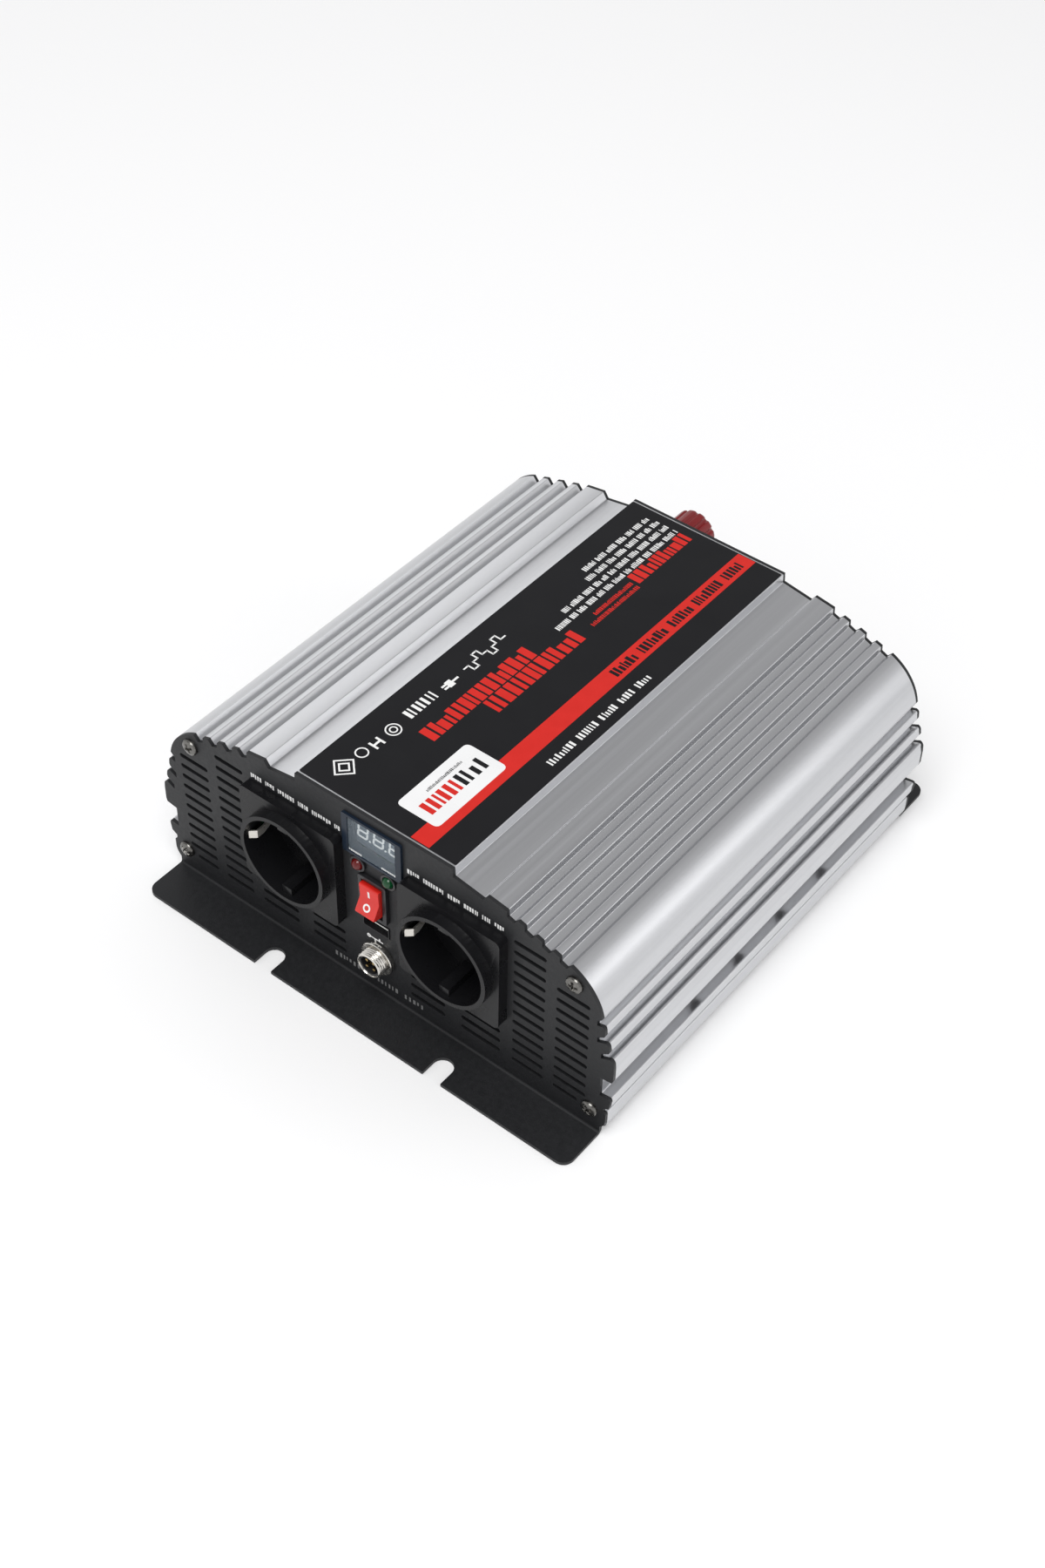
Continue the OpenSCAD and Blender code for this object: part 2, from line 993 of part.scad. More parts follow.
// Screw knob with finger flutes, closed at its outer end
module knob_at(z) {
    y0 = base_h + washer_h + 0.6;
    translate([terminal_x, rear_y, z])
        difference() {
            union() {
                rod(0, 0, knob_r, y0 + 3, knob_out - 1);
                rod(0, 0, knob_r - 0.8, knob_out - 1.5, knob_out);
                rod(0, 0, knob_r - 1.5, y0, y0 + 3.5);
            }
            rod(0, 0, stud_r + 0.08, y0 - 1, knob_out - 4);
            for (a = [0 : 30 : 330])
                rod((knob_r + 0.6) * cos(a), (knob_r + 0.6) * sin(a), 1.4,
                    y0 + 2.9, knob_out + 1);
        }
}

module red_knob() {
    color("#8c1414")
        knob_at(red_z);
}

module black_knob() {
    color("#121214")
        knob_at(black_z);
}

module ground_terminal() {
    color("silver")
        translate([ground_x, rear_y, ground_z]) {
            rod(0, 0, 2.5, -plate_t - 8, 14);
            nut(8, 2.5, 0, 4);
            nut(8, 2.5, -plate_t - 4, -plate_t);
        }
}

// ---------- fan ----------

fan_y1 = rear_y - plate_t;
fan_y0 = fan_y1 - 15;
fan_open_r = 33;
hub_r = 14.5;

module fan_frame() {
    color("#17171a")
        translate([fan_x, 0, fan_z]) {
            difference() {
                slab(fan_y0, fan_y1)
                    rounded(fan_size, fan_size, 3);
                rod(0, 0, fan_open_r, fan_y0 - 1, fan_y1 + 1);
                for (i = [-1, 1], j = [-1, 1])
                    rod(i * fan_holes / 2, j * fan_holes / 2, 2.1, fan_y0 - 1, fan_y1 + 1);
            }
            difference() {
                union() {
                    rod(0, 0, hub_r, fan_y0, fan_y0 + 2);
                    rod(0, 0, 3.2, fan_y0 + 1, fan_y0 + 11);
                    for (a = [20 : 90 : 290])
                        rotate([0, a, 0])
                            box([hub_r - 1, fan_y0, -1.5], [fan_open_r + 0.6, fan_y0 + 2, 1.5]);
                }
                rod(0, 0, 1.55, fan_y0 - 1, fan_y0 + 12);
            }
        }
}

module fan_rotor() {
    color("#202024")
        translate([fan_x, 0, fan_z]) {
            difference() {
                rod(0, 0, hub_r, fan_y0 + 2.6, fan_y1 - 0.8);
                rod(0, 0, hub_r - 1.2, fan_y0 + 2, fan_y1 - 2.2);
            }
            rod(0, 0, 1.5, fan_y0 + 0.5, fan_y1 - 1);
            intersection() {
                difference() {
                    rod(0, 0, fan_open_r - 1, fan_y0 + 2.8, fan_y1 - 1.2);
                    rod(0, 0, hub_r - 0.4, fan_y0, fan_y1);
                }
                for (a = [0 : 360 / 7 : 359])
                    rotate([0, a, 0])
                        translate([24, (fan_y0 + fan_y1) / 2 + 0.6, 0])
                            rotate([38, 0, 0])
                                cube([24, 1.2, 22], center = true);
            }
        }
}

module fan_guard() {
    color("silver")
        translate([fan_x, rear_y + 2.4, fan_z])
            rotate([90, 0, 0]) {
                for (r = [9, 16, 23, 30])
                    rotate_extrude()
                        translate([r, 0])
                            circle(0.9);
                for (a = [45, 135])
                    rotate([0, 0, a])
                        translate([-39.5, 0, 1.3])
                            rotate([0, 90, 0])
                                cylinder(r = 0.9, h = 79);
                for (i = [-1, 1], j = [-1, 1])
                    translate([i * fan_holes / 2, j * fan_holes / 2, 1.3])
                        rotate_extrude()
                            translate([3.1, 0])
                                circle(0.9);
            }
}

module fan_screws() {
    color("#303034")
        for (i = [-1, 1], j = [-1, 1])
            translate([fan_x + i * fan_holes / 2, rear_y + 2.1, fan_z + j * fan_holes / 2])
                rotate([0, 0, 180])
                    pan_screw(3.6, 2, 1.9, 19);
}

// ---------- assembly ----------

top_shell();
base_tray();
front_plate();
rear_plate();
plate_screws();
top_label();
left_socket();
right_socket();
earth_clips();
socket_contacts();
display_bezel();
display_window();
display_module();
display_digits();
front_boards();
led_holders();
red_led();
green_led();
switch_housing();
rocker();
switch_tabs();
usb_shell();
usb_tongue();
connector_body();
connector_nut();
connector_insert();
connector_pins();
clamp_screws();
clamp_bars();
power_transistors();
transistor_tabs();
insulating_sheet();
board_standoffs();
board_screws();
main_board();
transformer_cores();
transformer_windings();
input_capacitors();
bus_capacitors();
choke_core();
choke_winding();
fuses();
control_board();
control_chips();
ac_leads();
dc_busbars();
dc_studs();
terminal_nuts();
red_base();
black_base();
red_washer();
black_washer();
red_knob();
black_knob();
fan_frame();
fan_rotor();
fan_guard();
fan_screws();
ground_terminal();
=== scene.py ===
# %% [markdown]
# # A power inverter, dressed piece by piece
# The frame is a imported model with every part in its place, in metres. This script
# keeps that frame and gives each visible part the surface of the real one: satin
# anodised extrusions, powder-coated plates, glossy sockets, a printed film, plated
# hardware. Places come from the frame's boxes and from the part's own dimensions.

# %% Load the frame
import json
import math
import bmesh
import bpy
import numpy as np
from mathutils import Matrix, Vector

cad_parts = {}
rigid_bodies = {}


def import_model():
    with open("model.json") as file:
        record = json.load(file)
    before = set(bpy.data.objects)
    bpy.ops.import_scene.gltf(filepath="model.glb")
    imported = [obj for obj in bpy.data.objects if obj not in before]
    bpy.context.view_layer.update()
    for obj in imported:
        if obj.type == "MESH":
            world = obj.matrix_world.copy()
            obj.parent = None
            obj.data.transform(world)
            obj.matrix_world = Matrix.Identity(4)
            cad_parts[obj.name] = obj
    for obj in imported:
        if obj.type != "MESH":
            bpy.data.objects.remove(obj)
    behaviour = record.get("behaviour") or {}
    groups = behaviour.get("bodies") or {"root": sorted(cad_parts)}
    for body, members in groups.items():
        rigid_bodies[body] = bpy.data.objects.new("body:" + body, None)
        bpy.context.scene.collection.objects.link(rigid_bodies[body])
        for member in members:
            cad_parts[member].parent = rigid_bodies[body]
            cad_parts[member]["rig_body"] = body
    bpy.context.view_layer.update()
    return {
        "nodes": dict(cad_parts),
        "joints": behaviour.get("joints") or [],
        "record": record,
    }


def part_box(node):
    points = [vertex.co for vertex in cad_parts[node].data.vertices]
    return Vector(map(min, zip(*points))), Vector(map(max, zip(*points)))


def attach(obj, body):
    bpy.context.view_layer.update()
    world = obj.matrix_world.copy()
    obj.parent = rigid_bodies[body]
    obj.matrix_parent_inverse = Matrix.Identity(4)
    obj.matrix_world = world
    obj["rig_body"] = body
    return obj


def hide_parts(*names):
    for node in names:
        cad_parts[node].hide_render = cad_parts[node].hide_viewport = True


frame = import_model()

MM = 0.001
NODES = frame["nodes"]
PLATE = 1.5 * MM
START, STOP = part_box("top_shell")[0][1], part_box("top_shell")[1][1]
FRONT, REAR = START - PLATE, STOP + PLATE
print("case from", round(FRONT, 5), "to", round(REAR, 5), "m along y")

# %% [markdown]
# ## Camera, floor and light
# The camera stands to the right of the front, half-way up, as a product shot does.
# A satin metal part looks like whatever stands around it. So the studio is white
# near the floor and darker overhead: faces that look up turn grey, faces that lean
# outwards turn bright, and every rib gets a light and a dark side. The plain view
# keeps the floor white and the black film black.

# %% Camera
def aim(target, azimuth, elevation, roll, distance):
    """Matrix of a camera that looks at target: its back axis points from the target to
    it, at the azimuth round +Z from -Y and the elevation above the floor."""
    a, e, r = (math.radians(v) for v in (azimuth, elevation, roll))
    back = Vector((math.sin(a) * math.cos(e), -math.cos(a) * math.cos(e), math.sin(e)))
    side = Vector((math.cos(a), math.sin(a), 0))
    up = back.cross(side)
    across = math.cos(r) * side + math.sin(r) * up
    upward = math.cos(r) * up - math.sin(r) * side
    place = Matrix((across, upward, back)).transposed().to_4x4()
    place.translation = Vector(target) + distance * back
    return place


camera_data = bpy.data.cameras.new("camera")
camera_data.lens = 50.92
camera_data.sensor_width = 36
camera_data.clip_start = 0.01
camera = bpy.data.objects.new("camera", camera_data)
bpy.context.scene.collection.objects.link(camera)
camera.matrix_world = aim(target=(-8.0 * MM, -11.6 * MM, 33.66 * MM), azimuth=37.523,
                          elevation=45.258, roll=1.352, distance=0.9142)
bpy.context.scene.camera = camera
print("camera at", [round(v, 3) for v in camera.matrix_world.translation])

# %% Plain floor
def floor(side, height, white, glow):
    """A square floor. Its slight glow keeps the far end as white as the near end."""
    half = side / 2
    mesh = bpy.data.meshes.new("floor")
    mesh.from_pydata([(-half, -half, 0), (half, -half, 0), (half, half, 0), (-half, half, 0)],
                     [], [(0, 1, 2, 3)])
    obj = bpy.data.objects.new("floor", mesh)
    obj.location = (0, 0, height)
    bpy.context.scene.collection.objects.link(obj)
    paint = bpy.data.materials.new("floor")
    paint.use_nodes = True
    shader = paint.node_tree.nodes["Principled BSDF"]
    shader.inputs["Base Color"].default_value = (white, white, white, 1)
    shader.inputs["Roughness"].default_value = 1.0
    shader.inputs["Specular IOR Level"].default_value = 0.0
    shader.inputs["Emission Color"].default_value = (white, white, white, 1)
    shader.inputs["Emission Strength"].default_value = glow
    mesh.materials.append(paint)


floor(side=12, height=-0.3 * MM, white=0.92, glow=0.12)

# %% Soft light
def softbox(name, place, target, size, watts):
    """A square area light that faces the target."""
    data = bpy.data.lights.new(name, "AREA")
    data.size = size
    data.energy = watts
    lamp = bpy.data.objects.new(name, data)
    bpy.context.scene.collection.objects.link(lamp)
    lamp.location = place
    lamp.rotation_euler = (Vector(target) - Vector(place)).to_track_quat("-Z", "Y").to_euler()


softbox("overhead", (0.35, -0.75, 1.9), (0, 0, 0), 1.2, 24)
softbox("left_back", (-1.6, 1.0, 1.0), (0, 0, 0.05), 0.9, 1.8)
softbox("right_back", (1.5, 0.9, 0.85), (0, 0, 0.05), 0.7, 2.0)

# %% The room around the object
world = bpy.data.worlds.new("studio")
world.use_nodes = True
bpy.context.scene.world = world
bpy.context.scene.view_settings.view_transform = "Standard"
tree = world.node_tree
direction = tree.nodes.new("ShaderNodeTexCoord")
parts = tree.nodes.new("ShaderNodeSeparateXYZ")
room = tree.nodes.new("ShaderNodeValToRGB")
room.color_ramp.elements[0].position = 0.0
room.color_ramp.elements[0].color = (0.95, 0.95, 0.96, 1)
room.color_ramp.elements[1].position = 1.0
room.color_ramp.elements[1].color = (0.42, 0.42, 0.43, 1)
for height, grey in ((0.34, 0.95), (0.50, 0.74), (0.70, 0.52), (0.80, 0.46)):
    room.color_ramp.elements.new(height).color = (grey, grey, grey * 1.01, 1)
tree.links.new(direction.outputs["Generated"], parts.inputs["Vector"])
tree.links.new(parts.outputs["Z"], room.inputs["Fac"])
tree.links.new(room.outputs["Color"], tree.nodes["Background"].inputs["Color"])
tree.nodes["Background"].inputs["Strength"].default_value = 0.9

# %% [markdown]
# ## Finishes
# Most finishes here are one shader with three patterns on top: a slow drift of
# colour, a drift of roughness, and a fine bump. Stretching the pattern along y
# turns grain into the lines that an extrusion die leaves. The patterns are read at
# Object coordinates, so they stay on the piece wherever it goes.

# %% One recipe for a finish
def finish(name, colour, rough, metal=0.0, drift=0.06, grain=300.0, stretch=(1, 1, 1),
           rough_drift=0.08, bump=0.02, bump_grain=2500.0, bump_stretch=(1, 1, 1), **direct):
    """A Principled material. Colour goes from colour x (1 - drift) to colour x (1 + drift)
    with a noise of the given grain per metre, roughness by +-rough_drift with the same
    noise, and a finer noise of bump_grain per metre tilts the normal by bump. direct sets
    further sockets of the shader."""
    made = bpy.data.materials.new(name)
    made.use_nodes = True
    tree = made.node_tree
    nodes, links = tree.nodes, tree.links
    shader = nodes["Principled BSDF"]
    shader.inputs["Metallic"].default_value = metal
    for socket, value in direct.items():
        shader.inputs[socket.replace("_", " ")].default_value = value
    place = nodes.new("ShaderNodeTexCoord")

    def noise(scale, warp, detail):
        mapping = nodes.new("ShaderNodeMapping")
        mapping.inputs["Scale"].default_value = warp
        links.new(place.outputs["Object"], mapping.inputs["Vector"])
        field = nodes.new("ShaderNodeTexNoise")
        field.inputs["Scale"].default_value = scale
        field.inputs["Detail"].default_value = detail
        links.new(mapping.outputs["Vector"], field.inputs["Vector"])
        return field.outputs["Fac"]

    slow = noise(grain, stretch, 4.0)
    ramp = nodes.new("ShaderNodeValToRGB")
    ramp.color_ramp.elements[0].position = 0.3
    ramp.color_ramp.elements[1].position = 0.7
    for stop, gain in zip(ramp.color_ramp.elements, (1 - drift, 1 + drift)):
        stop.color = (*(min(1, c * gain) for c in colour), 1)
    links.new(slow, ramp.inputs["Fac"])
    links.new(ramp.outputs["Color"], shader.inputs["Base Color"])
    spread = nodes.new("ShaderNodeMapRange")
    spread.inputs["From Min"].default_value = 0.3
    spread.inputs["From Max"].default_value = 0.7
    spread.inputs["To Min"].default_value = max(0.02, rough - rough_drift)
    spread.inputs["To Max"].default_value = min(1, rough + rough_drift)
    links.new(slow, spread.inputs["Value"])
    links.new(spread.outputs["Result"], shader.inputs["Roughness"])
    if bump:
        relief = nodes.new("ShaderNodeBump")
        relief.inputs["Strength"].default_value = bump
        relief.inputs["Distance"].default_value = 0.0002
        links.new(noise(bump_grain, bump_stretch, 2.0), relief.inputs["Height"])
        links.new(relief.outputs["Normal"], shader.inputs["Normal"])
    return made


# %% The object's finishes
ALONG = (1, 0.004, 1)
FINISHES = {
    "anodised_aluminium": finish("anodised_aluminium", (0.60, 0.605, 0.62), 0.33, 1.0, 0.04,
                                 500, ALONG, 0.04, 0.16, 3200),
    "plain_aluminium": finish("plain_aluminium", (0.62, 0.63, 0.64), 0.4, 1.0, 0.05, 300, ALONG),
    "black_powder_coat": finish("black_powder_coat", (0.0125, 0.013, 0.0145), 0.52, 0.0, 0.10, 500,
                                rough_drift=0.05, bump=0.30, bump_grain=1400,
                                Specular_IOR_Level=0.35),
    "zinc_screws": finish("zinc_screws", (0.17, 0.165, 0.155), 0.24, 1.0, 0.15, 900, bump=0.05),
    "black_screws": finish("black_screws", (0.035, 0.035, 0.038), 0.36, 0.6, 0.2, 900, bump=0.06),
    "printed_label": finish("printed_label", (0.010, 0.010, 0.0115), 0.34, 0.0, 0.05, 60,
                            rough_drift=0.03, bump=0.02, bump_grain=900,
                            Specular_IOR_Level=0.14),
    "socket_plastic": finish("socket_plastic", (0.008, 0.008, 0.009), 0.28, 0.0, 0.08, 120,
                             rough_drift=0.02, bump=0.0, Specular_IOR_Level=0.20),
    "nickel": finish("nickel", (0.68, 0.66, 0.62), 0.20, 1.0, 0.06, 500, bump=0.03),
    "brass": finish("brass", (0.72, 0.52, 0.22), 0.24, 1.0, 0.10, 500, bump=0.04),
    "display_border": finish("display_border", (0.012, 0.020, 0.034), 0.2, 0.0, 0.1, 200, bump=0,
                             Specular_IOR_Level=0.2),
    "display_face": finish("display_face", (0.27, 0.335, 0.39), 0.5, 0.0, 0.03, 300, bump=0.0),
    "circuit_board": finish("circuit_board", (0.02, 0.14, 0.05), 0.30, 0.0, 0.25, 900, bump=0.1),
    "black_plastic": finish("black_plastic", (0.015, 0.015, 0.017), 0.38, 0.0, 0.15, 400,
                            bump=0.10, bump_grain=1800),
    "red_rocker": finish("red_rocker", (0.66, 0.018, 0.012), 0.18, 0.0, 0.05, 150,
                         rough_drift=0.04, bump=0.01, Subsurface_Weight=0.05),
    "white_plastic": finish("white_plastic", (0.78, 0.78, 0.75), 0.4, 0.0, 0.03, 300),
    "chip_epoxy": finish("chip_epoxy", (0.02, 0.02, 0.022), 0.55, 0.0, 0.15, 500, bump=0.15),
    "insulating_card": finish("insulating_card", (0.66, 0.6, 0.42), 0.8, 0.0, 0.08, 500, bump=0.1),
    "ferrite": finish("ferrite", (0.05, 0.05, 0.055), 0.6, 0.0, 0.2, 700, bump=0.2),
    "yellow_tape": finish("yellow_tape", (0.70, 0.47, 0.04), 0.22, 0.0, 0.1, 40, (1, 1, 18),
                          bump=0.15, bump_grain=60, bump_stretch=(0.2, 0.2, 12)),
    "capacitor_sleeve": finish("capacitor_sleeve", (0.012, 0.02, 0.10), 0.26, 0.0, 0.1, 100),
    "core_coating": finish("core_coating", (0.66, 0.52, 0.05), 0.4, 0.0, 0.08, 300),
    "copper": finish("copper", (0.72, 0.30, 0.13), 0.25, 1.0, 0.12, 400),
    "fuse_plastic": finish("fuse_plastic", (0.03, 0.30, 0.07), 0.2, 0.0, 0.05, 200, bump=0.01,
                           Transmission_Weight=0.3),
    "lead_insulation": finish("lead_insulation", (0.13, 0.05, 0.02), 0.45, 0.0, 0.1, 300),
    "red_terminal": finish("red_terminal", (0.20, 0.008, 0.010), 0.22, 0.0, 0.1, 200,
                           rough_drift=0.05, bump=0.03, bump_grain=800),
    "fan_plastic": finish("fan_plastic", (0.018, 0.018, 0.02), 0.42, 0.0, 0.12, 300, bump=0.08),
    "chromed_wire": finish("chromed_wire", (0.72, 0.72, 0.73), 0.12, 1.0, 0.04, 300, bump=0.02),
    "print_white": finish("print_white", (0.86, 0.86, 0.85), 0.45, 0.0, 0.03, 900, bump=0.0),
    "print_grey": finish("print_grey", (0.20, 0.20, 0.20), 0.5, 0.0, 0.03, 900, bump=0.0),
    "clip_spring": finish("clip_spring", (0.82, 0.79, 0.73), 0.34, 0.8, 0.04, 500, bump=0.0),
    "print_red": finish("print_red", (0.64, 0.020, 0.014), 0.40, 0.0, 0.03, 200, bump=0.0,
                        Specular_IOR_Level=0.2),
    "sticker_white": finish("sticker_white", (0.86, 0.86, 0.86), 0.3, 0.0, 0.02, 60, bump=0.02),
}

# %% Clear and lit finishes
def lens(name, colour, clear, rough=0.08, glow=0.0):
    """Tinted plastic that lets the share clear of the light straight past, and gives
    off light of its own colour where glow isn't 0."""
    made = finish(name, colour, rough, 0.0, 0.02, 200, rough_drift=0.01, bump=0.0,
                  Alpha=1 - clear)
    shader = made.node_tree.nodes["Principled BSDF"]
    shader.inputs["Emission Color"].default_value = (*colour, 1)
    shader.inputs["Emission Strength"].default_value = glow
    return made


FINISHES["display_lens"] = lens("display_lens", (0.16, 0.20, 0.235), 0.66, 0.10)
FINISHES["red_lens"] = lens("red_lens", (0.11, 0.003, 0.003), 0.0, 0.10)
FINISHES["green_lens"] = lens("green_lens", (0.002, 0.055, 0.015), 0.0, 0.10)
# The figures' glow is painted light: the bars give off light of their own so that they stand out
# through the tinted window.
FINISHES["lit_segments"] = lens("lit_segments", (0.90, 0.93, 0.92), 0.0, 0.4, 0.80)

for part in frame["record"]["subparts"]:
    node = NODES[part["node"]]
    node.data.materials.clear()
    node.data.materials.append(FINISHES[part["material_slot"]])
    node["slot_name"] = part["material_slot"]
    node.data.shade_smooth()
    node.data.set_sharp_from_angle(angle=math.radians(32))
print(len(FINISHES), "finishes on", len(NODES), "nodes")

# %% [markdown]
# ## Tools for shapes
# Each new piece is a surface of two parameters worked out as one numpy array: an
# outline carried along y, a profile turned about an axis, or a ring carried along a
# path. One helper turns such an array into a mesh and puts it on its CAD body.

# %% From arrays to a piece
def piece(name, points, faces, body, slot, material=None, crease=32.0, nodes=()):
    """A mesh object from an array of points and a list of faces. Doubles at poles are
    merged, normals point outwards, and edges sharper than crease degrees stay sharp."""
    mesh = bpy.data.meshes.new(name)
    mesh.from_pydata(np.asarray(points, float).reshape(-1, 3).tolist(), [],
                     [list(map(int, f)) for f in faces])
    clean = bmesh.new()
    clean.from_mesh(mesh)
    bmesh.ops.remove_doubles(clean, verts=clean.verts, dist=1e-7)
    bmesh.ops.dissolve_degenerate(clean, edges=clean.edges, dist=1e-8)
    bmesh.ops.recalc_face_normals(clean, faces=clean.faces)
    clean.to_mesh(mesh)
    clean.free()
    mesh.shade_smooth()
    mesh.set_sharp_from_angle(angle=math.radians(crease))
    obj = bpy.data.objects.new(name, mesh)
    bpy.context.scene.collection.objects.link(obj)
    mesh.materials.append(FINISHES[material or slot])
    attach(obj, body)
    if nodes:
        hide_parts(*nodes)
    return obj


def cells(rows, cols, wrap_rows=False, wrap_cols=False):
    """The four corners of every cell of a grid of points stored row by row."""
    r, c = np.meshgrid(np.arange(rows if wrap_rows else rows - 1),
                       np.arange(cols if wrap_cols else cols - 1), indexing="ij")
    r1, c1 = (r + 1) % rows, (c + 1) % cols
    return np.stack([r * cols + c, r1 * cols + c, r1 * cols + c1, r * cols + c1], -1).reshape(-1, 4)


def join(*parts):
    """(points, faces) pairs as one, the faces renumbered."""
    points, faces, start = [], [], 0
    for p, f in parts:
        p = np.asarray(p, float).reshape(-1, 3)
        points.append(p)
        faces += [[int(i) + start for i in face] for face in f]
        start += len(p)
    return np.concatenate(points), faces


def rounded_outline(corners, steps=5):
    """Outline of [x, z, r] corners with each corner cut back by r times the tangent of
    half its turn and bridged by a parabola that touches both sides."""
    c = np.asarray(corners, float)
    p, r = c[:, :2], c[:, 2]
    before, after = np.roll(p, 1, 0) - p, np.roll(p, -1, 0) - p
    lb, la = np.linalg.norm(before, axis=1), np.linalg.norm(after, axis=1)
    ub, ua = before / lb[:, None], after / la[:, None]
    half = np.arccos(np.clip((ub * ua).sum(1), -1, 1)) / 2
    cut = np.minimum(r / np.tan(np.maximum(half, 0.05)), 0.49 * np.minimum(lb, la))
    a, b = p + ub * cut[:, None], p + ua * cut[:, None]
    t = np.linspace(0, 1, steps)[None, :, None]
    bend = (1 - t) ** 2 * a[:, None] + 2 * t * (1 - t) * p[:, None] + t ** 2 * b[:, None]
    flat = bend.reshape(-1, 2)
    keep = np.linalg.norm(flat - np.roll(flat, 1, 0), axis=1) > 1e-4
    return flat[keep]


def along_y(outline, y0, y1):
    """(points, faces) of an x-z outline in millimetres carried from y0 to y1, in metres."""
    n = len(outline)
    ring = np.stack([outline[:, 0] * MM, np.zeros(n), outline[:, 1] * MM], 1)
    points = np.stack([ring + [0, y0, 0], ring + [0, y1, 0]])
    return points, [*cells(2, n, wrap_cols=True), list(range(n)), list(range(2 * n - 1, n - 1, -1))]


def turned(profile, centre, count=48):
    """(points, faces) of a profile of (radius, y) pairs, in millimetres, turned about the
    y line through centre. A profile that ends where it starts gives a closed ring."""
    p = np.asarray(profile, float) * MM
    closed = np.allclose(p[0], p[-1])
    if closed:
        p = p[:-1]
    a = np.linspace(0, 2 * np.pi, count, endpoint=False)
    points = np.stack([p[:, :1] * np.cos(a), np.repeat(p[:, 1:2], count, 1),
                       p[:, :1] * np.sin(a)], -1)
    return points + np.asarray(centre), cells(len(p), count, closed, True)


def prism(outline, height, place):
    """(points, faces) of a flat outline given a thickness. place maps an array of
    (u, v, height) triples to points in metres."""
    n = len(outline)
    flat = np.asarray(outline, float)
    low = np.concatenate([flat, np.zeros((n, 1))], 1)
    high = np.concatenate([flat, np.full((n, 1), height)], 1)
    faces = [list(range(n)), list(range(2 * n - 1, n - 1, -1)), *cells(2, n, wrap_cols=True)]
    return place(np.concatenate([low, high])), faces


# %% Softened edges
def softened(node, width, segments=2, material=None):
    """A copy of a CAD node with its doubles merged, flat faces joined, and every sharp
    edge rounded over width millimetres, to stand for the node."""
    sharp = math.radians(35)
    source = NODES[node]
    clean = bmesh.new()
    clean.from_mesh(source.data)
    bmesh.ops.remove_doubles(clean, verts=clean.verts, dist=2e-6)
    bmesh.ops.dissolve_limit(clean, angle_limit=math.radians(0.6), verts=clean.verts,
                             edges=clean.edges)
    mesh = bpy.data.meshes.new(node + "_skin")
    clean.to_mesh(mesh)
    clean.free()
    obj = bpy.data.objects.new(mesh.name, mesh)
    bpy.context.scene.collection.objects.link(obj)
    slot = source["slot_name"]
    mesh.materials.append(FINISHES[material or slot])
    bevel = obj.modifiers.new("soft_edges", "BEVEL")
    bevel.width = width * MM
    bevel.segments = segments
    bevel.limit_method = "ANGLE"
    bevel.angle_limit = sharp
    bevel.use_clamp_overlap = True
    bevel.harden_normals = True
    mesh.shade_smooth()
    mesh.set_sharp_from_angle(angle=sharp)
    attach(obj, source["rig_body"])
    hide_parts(node)
    return obj


# %% [markdown]
# ## The two extrusions
# The case is two aluminium extrusions: the arched shell with its ribs, and the tray
# that closes it below. A real extrusion has no sharp corner anywhere, because the
# die's corners are rounded, and those small radii catch the light as thin bright
# lines. So both are rebuilt from their outline, each corner with its own radius.

# %% Outline of the shell
SHOULDER = (82.5, 61.7)


def shoulder(radius, a0, a1, count):
    """Points on the round shoulder, from angle a0 to a1 in degrees."""
    a = np.radians(np.linspace(a0, a1, count))
    return [[SHOULDER[0] + radius * math.cos(v), SHOULDER[1] + radius * math.sin(v), 0] for v in a]


OUTER = [[38.3, 98.1, 0.5], [38.6, 93.9, 0.5], [52.3, 91.7, 0.5], [54.3, 94.7, 0.35],
         [63.3, 93.3, 0.6], [63.5, 90.1, 0.5], [66.2, 89.1, 0.35], [68.4, 91.6, 0.35],
         [71.3, 90.7, 0.6], [71.5, 88.1, 0.5], [74.3, 86.9, 0.35], [76.4, 89.4, 0.35],
         [79.3, 88.4, 0.6], [79.5, 85.8, 0.5], [82.3, 84.6, 0.35], [84.3, 87.1, 0.35],
         [87.2, 86.1, 0.6], [87.4, 83.4, 0.5], [90.2, 82.2, 0.35]]
OUTER += shoulder(25, 67, 11, 24)
RIBS = [[105, 64.6, 0.3], [105, 62, 0.3], [108.3, 63.1, 1.0], [108.8, 58.8, 0.5],
        [108.4, 57.7, 0.3], [105.4, 55.5, 0.3], [105.4, 52.9, 0.3], [110.3, 55.2, 1.1],
        [111.1, 51.1, 0.5], [110.7, 50, 0.3], [107.5, 47.7, 0.3], [107.5, 45.1, 0.3],
        [112.6, 47.6, 1.3], [113.5, 42.5, 2.0], [113.5, 36.2, 1.2], [113, 34.6, 0.4],
        [108, 33.8, 0.6], [108, 23.4, 0.5], [112.9, 24.3, 0.9], [112.4, 18.4, 0.8],
        [110, 16.8, 0.4], [110, 15.65, 0.3]]
INNER = [[106.5, 15.65, 0.2], [106.5, 20, 0.4], [103.5, 22, 0.4], [103.5, 63.5, 0.5]]
INNER += shoulder(22.8, 11, 52, 8)
INNER += [[88, 80.4, 0.3], [80.5, 82.8, 0.3], [73.4, 85.2, 0.3], [66, 87.1, 0.3], [52, 89.8, 0.3],
          [37.3, 92, 0.5], [36.2, 95.7, 0.5]]


def both_halves(half):
    """A right half-outline, and its mirror image in reverse order, as one outline."""
    return half + [[-x, z, r] for x, z, r in reversed(half)]


shell = rounded_outline(both_halves(OUTER + RIBS + INNER))
piece("shell_extrusion", *along_y(shell, START, STOP), "case", "anodised_aluminium",
      crease=70, nodes=["top_shell"])
print("shell outline has", len(shell), "points")

